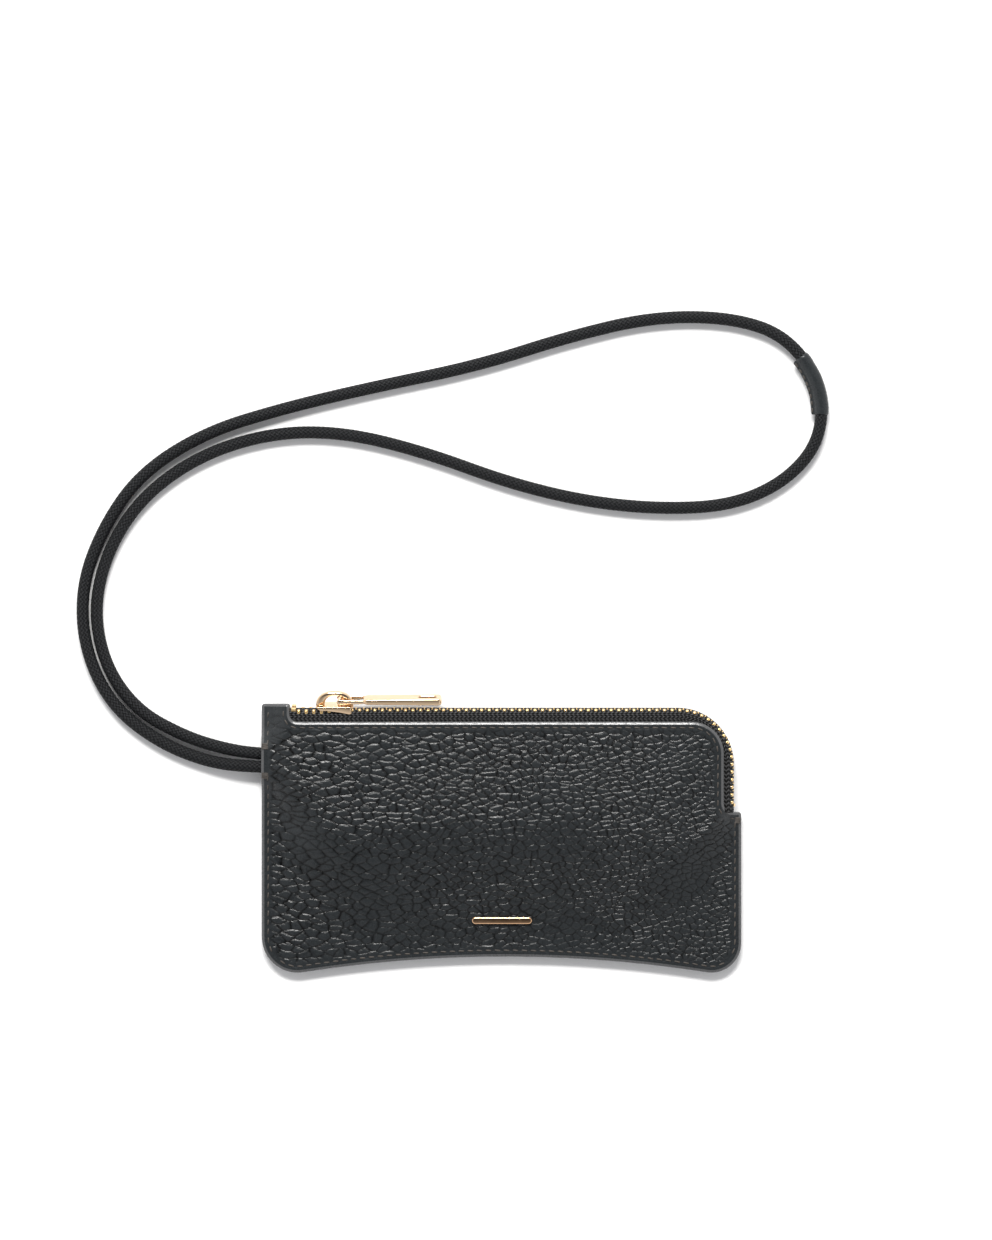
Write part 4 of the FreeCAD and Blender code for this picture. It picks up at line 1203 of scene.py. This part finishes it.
def add_cord(route):
    line, at = even_points(route, 0.38)
    side, up = side_frames(line)
    count = 36
    angle = np.arange(count) * 2 * math.pi / count
    height = braid_height(at[:, None], angle[None, :])
    radius = CORD_RADIUS - STRAND_RELIEF + STRAND_RELIEF * np.sqrt(height)
    points = (
        line[:, None, :] + side[:, None, :] * (radius * np.cos(angle))[:, :, None]
        + up[:, None, :] * (radius * np.sin(angle))[:, :, None]
    )
    faces = [f[::-1] for f in closed_tube(count, len(line))]
    uv = np.stack(np.broadcast_arrays(at[:, None], angle[None, :] / (2 * math.pi)), axis=-1).reshape(-1, 2)
    piece = mesh_object("neck_cord_braid", points.reshape(-1, 3), faces, [CORD], uv=uv)
    close_turn(piece, count)
    return piece


def close_turn(piece, count):
    """Let the last strip round a tube end on a whole turn of its UV map."""
    for face in piece.data.polygons:
        turns = [piece.data.loops[i].vertex_index % count for i in face.loop_indices]
        if len(turns) == 4 and 0 in turns and count - 1 in turns:
            for i, turn in zip(face.loop_indices, turns):
                if turn == 0:
                    piece.data.uv_layers[0].data[i].uv[1] = 1.0


def add_sleeve(route):
    """A leather strip wrapped round the cord and sewn into a flat fin on the loop's inner side."""
    low, high = box_mm("cord_sleeve")
    line, at = even_points(route, 0.4)
    wrapped = (line[:, 1] > low[1] + 0.2) & (line[:, 1] < high[1] - 0.9) & (line[:, 0] > low[0] - 1)
    picked = np.where(wrapped)[0]
    line, at = line[picked], at[picked] - at[picked[0]]
    side, up = side_frames(line)
    wrap = np.radians(np.linspace(28, 332, 40))
    ring = SLEEVE_RADIUS * np.column_stack([np.cos(wrap), np.sin(wrap)])
    fin = np.array([
        (2.7, -0.86), (3.0, -0.76), (3.4, -0.72), (3.62, -0.62), (3.7, -0.35), (3.6, -0.08), (3.45, 0.0),
        (3.6, 0.08), (3.7, 0.35), (3.62, 0.62), (3.4, 0.72), (3.0, 0.76), (2.7, 0.86),
    ])
    section = np.concatenate([ring, fin])
    angle = np.arctan2(section[:, 1], section[:, 0])
    points = []
    for k, (centre, s, u) in enumerate(zip(line, side, up)):
        end = min(at[k], at[-1] - at[k])
        pinch = 1 - 0.10 * math.exp(-(end / 0.35) ** 2)
        wrinkle = 0.05 * (soft_noise(np.full(len(section), at[k] / 2.2), angle * 2.2 + 9, 60) - 0.5)
        scaled = section * (pinch + wrinkle)[:, None]
        points.append(centre + scaled[:, :1] * s + scaled[:, 1:] * u)
    solid, faces = loft(points)
    piece = mesh_object("cord_sleeve_leather", solid, faces, [LEATHER_SKIN])
    recalculate(piece)
    finish(piece, "cord_sleeve")
    build = Build()
    for place in np.arange(1.8, at[-1] - 1.0, SLEEVE_STITCH_PITCH):
        k = int(np.argmin(np.abs(at - place)))
        ahead = line[min(k + 2, len(line) - 1)] - line[max(k - 2, 0)]
        for face in (1, -1):
            middle = line[k] + side[k] * FIN_SEAM + up[k] * face * 0.80
            stitch_mesh(build, middle, ahead, up[k] * face, 1.9)
    thread = build.make("sleeve_stitches", [THREAD])
    finish(thread, "sleeve_thread")
    return piece, thread


def recalculate(piece):
    mesh = bmesh.new()
    mesh.from_mesh(piece.data)
    bmesh.ops.recalc_face_normals(mesh, faces=mesh.faces)
    mesh.to_mesh(piece.data)
    mesh.free()


# Threads

def stitch_mesh(build, middle, ahead, up, length, thick=THREAD_RADIUS, slant=0.0):
    """One stitch: a short thread that dives into the leather at both ends."""
    ahead = np.asarray(ahead, float) / np.linalg.norm(ahead)
    up = np.asarray(up, float) / np.linalg.norm(up)
    side = np.cross(ahead, up)
    ahead = ahead * math.cos(slant) + side * math.sin(slant)
    side = np.cross(ahead, up)
    sections = []
    for t in np.linspace(-1, 1, 9):
        radius = thick * (1 - 0.45 * abs(t) ** 4) * (0.35 if abs(t) == 1 else 1.0)
        twist = 1 + 0.10 * math.cos(t * 9)
        centre = middle + ahead * t * length / 2 - up * 0.30 * t ** 4
        ring = squircle(radius * twist, radius * 0.85, 8, 2.0)
        sections.append(centre + ring[:, :1] * side + ring[:, 1:] * up)
    points, faces = loft(sections)
    build.add(points, [f[::-1] for f in faces])


def sew(build, line, height, face, keep):
    """Stitches along a closed flat line, set on a height field. face is 1 above, -1 below."""
    around = np.vstack([line, line[:1]])
    lengths = lengths_along(around)
    for k in range(int(lengths[-1] / STITCH_PITCH)):
        at = (k + 0.5) * STITCH_PITCH
        spots = np.array([[np.interp(at + d, lengths, around[:, a]) for a in (0, 1)] for d in (-1.0, 0, 1.0)])
        if not keep(spots[1]):
            continue
        z = height(spots[:, 0], spots[:, 1])
        ahead = np.append(spots[2] - spots[0], z[2] - z[0])
        inward = np.array([-ahead[1], ahead[0]]) / np.linalg.norm(ahead[:2])
        beside = spots[1] + inward * 0.5
        tilt = np.append(inward * 0.5, float(height(beside[:1], beside[1:])[0]) - z[1])
        up = np.cross(ahead, tilt)
        up *= face * np.sign(up[2])
        middle = np.append(spots[1], z[1]) + up / np.linalg.norm(up) * 0.02
        stitch_mesh(build, middle, ahead, up, STITCH_LENGTH, slant=0.09)


def smooth_front(x, y):
    """Front surface in the sewn groove."""
    return front_low(x, y) + LEATHER - 0.10


def smooth_back(x, y):
    """Depth of the back's sewn groove below the seam plane."""
    return np.maximum(back_high(x, y) - LEATHER, 0.0) + BACK_THREAD_HEIGHT


def sewn_edge(p):
    at_exit = p[0] < 0 and abs(p[1] - EXIT_Y) < EXIT_HALF_HEIGHT
    side = p[0] < LEFT + 4 or p[0] > RIGHT - 4
    low = p[1] < bottom_edge(p[0]) + 6
    return (side or low) and p[1] < TAB_TOP - 3.5 and not at_exit


def window_edge(p):
    beside_tab = abs(p[0] - TAB_EDGE) < 3 and p[1] > WINDOW_TOP - 3
    top = p[1] > WINDOW_TOP - 3.5 and p[0] > TAB_EDGE
    right = p[0] > WINDOW_RIGHT - 8 and p[1] > SHOULDER - 1.5
    return (beside_tab or top or right) and p[1] < TAB_TOP - 3.2


def add_threads():
    for name, node, inset, keep in (
        ("seam_stitches", "seam_thread", SEAM_INSET, sewn_edge),
        ("zip_window_stitches", "zip_thread_front", WINDOW_SEAM_INSET, window_edge),
    ):
        build = Build()
        sew(build, outline(inset, 0.5), smooth_front, 1, keep)
        sew(build, outline(inset, 0.5), smooth_back, -1, keep)
        finish(build.make(name, [THREAD]), node)
    tacks = Build()
    for x, y, inward in ((LEFT, EXIT_Y - 5.2, 1), (LEFT, EXIT_Y + 5.2, 1), (RIGHT, SHOULDER - 2.9, -1)):
        for k in range(5):
            spot = np.array([x + inward * 1.5, y + (k - 2) * 0.42])
            z = float(smooth_front(spot[:1], spot[1:])[0]) + 0.12
            stitch_mesh(tacks, np.append(spot, z), (1, 0, 0), (0, 0, 1), 2.7, 0.24, 0.05 * (-1) ** k)
    finish(tacks.make("bar_tack_stitches", [THREAD]), "bar_tacks")


# Badge

def add_badge():
    low, high = box_mm("badge_bar")
    x0, x1 = low[0], high[0]
    y = (low[1] + high[1]) / 2
    half = (high[1] - low[1]) / 2 - 0.1
    ys = np.array([y - half, y + half])
    z = front_low(np.full(2, (x0 + x1) / 2), ys) + LEATHER
    slope = math.atan2(z[1] - z[0], 2 * half)
    s, c = math.sin(slope), math.cos(slope)

    def place(points):
        x, out, across = points.T
        return np.column_stack([x, y + across * c - out * s, z.mean() + across * s + out * c])

    build = Build()
    plate(build, stadium(x0, x1, half, 16), 0.02, 0.95, 0.5, steps=7, place=place)
    piece = build.make("badge_bar_gold", [BADGE_GOLD])
    recalculate(piece)
    finish(piece, "badge_bar")


def dress_cad(node, material):
    """Give a CAD node its material."""
    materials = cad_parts[node].data.materials
    materials.clear()
    materials.append(material)


add_camera()
add_studio()
ROUTE = route_points()
cord = add_cord(ROUTE)
finish(cord, "neck_cord")
sleeve, sleeve_stitches = add_sleeve(ROUTE)
add_leather()
add_lining("front_lining_cloth", "front_lining", lambda x, y: (
    front_low(x, y) - LAYER_GAP - LINING_THICKNESS - tape_room(x, y)
))
add_lining("back_lining_cloth", "back_lining", lambda x, y: back_high(x, y) + LAYER_GAP + tape_room(x, y))
add_tapes()
add_teeth()
add_slider()
add_pull()
add_threads()
add_badge()
for name, look in (("card_pocket", LINING), ("zip_top_stops", TEETH_GOLD), ("zip_bottom_stop", TEETH_GOLD)):
    dress_cad(name, look)
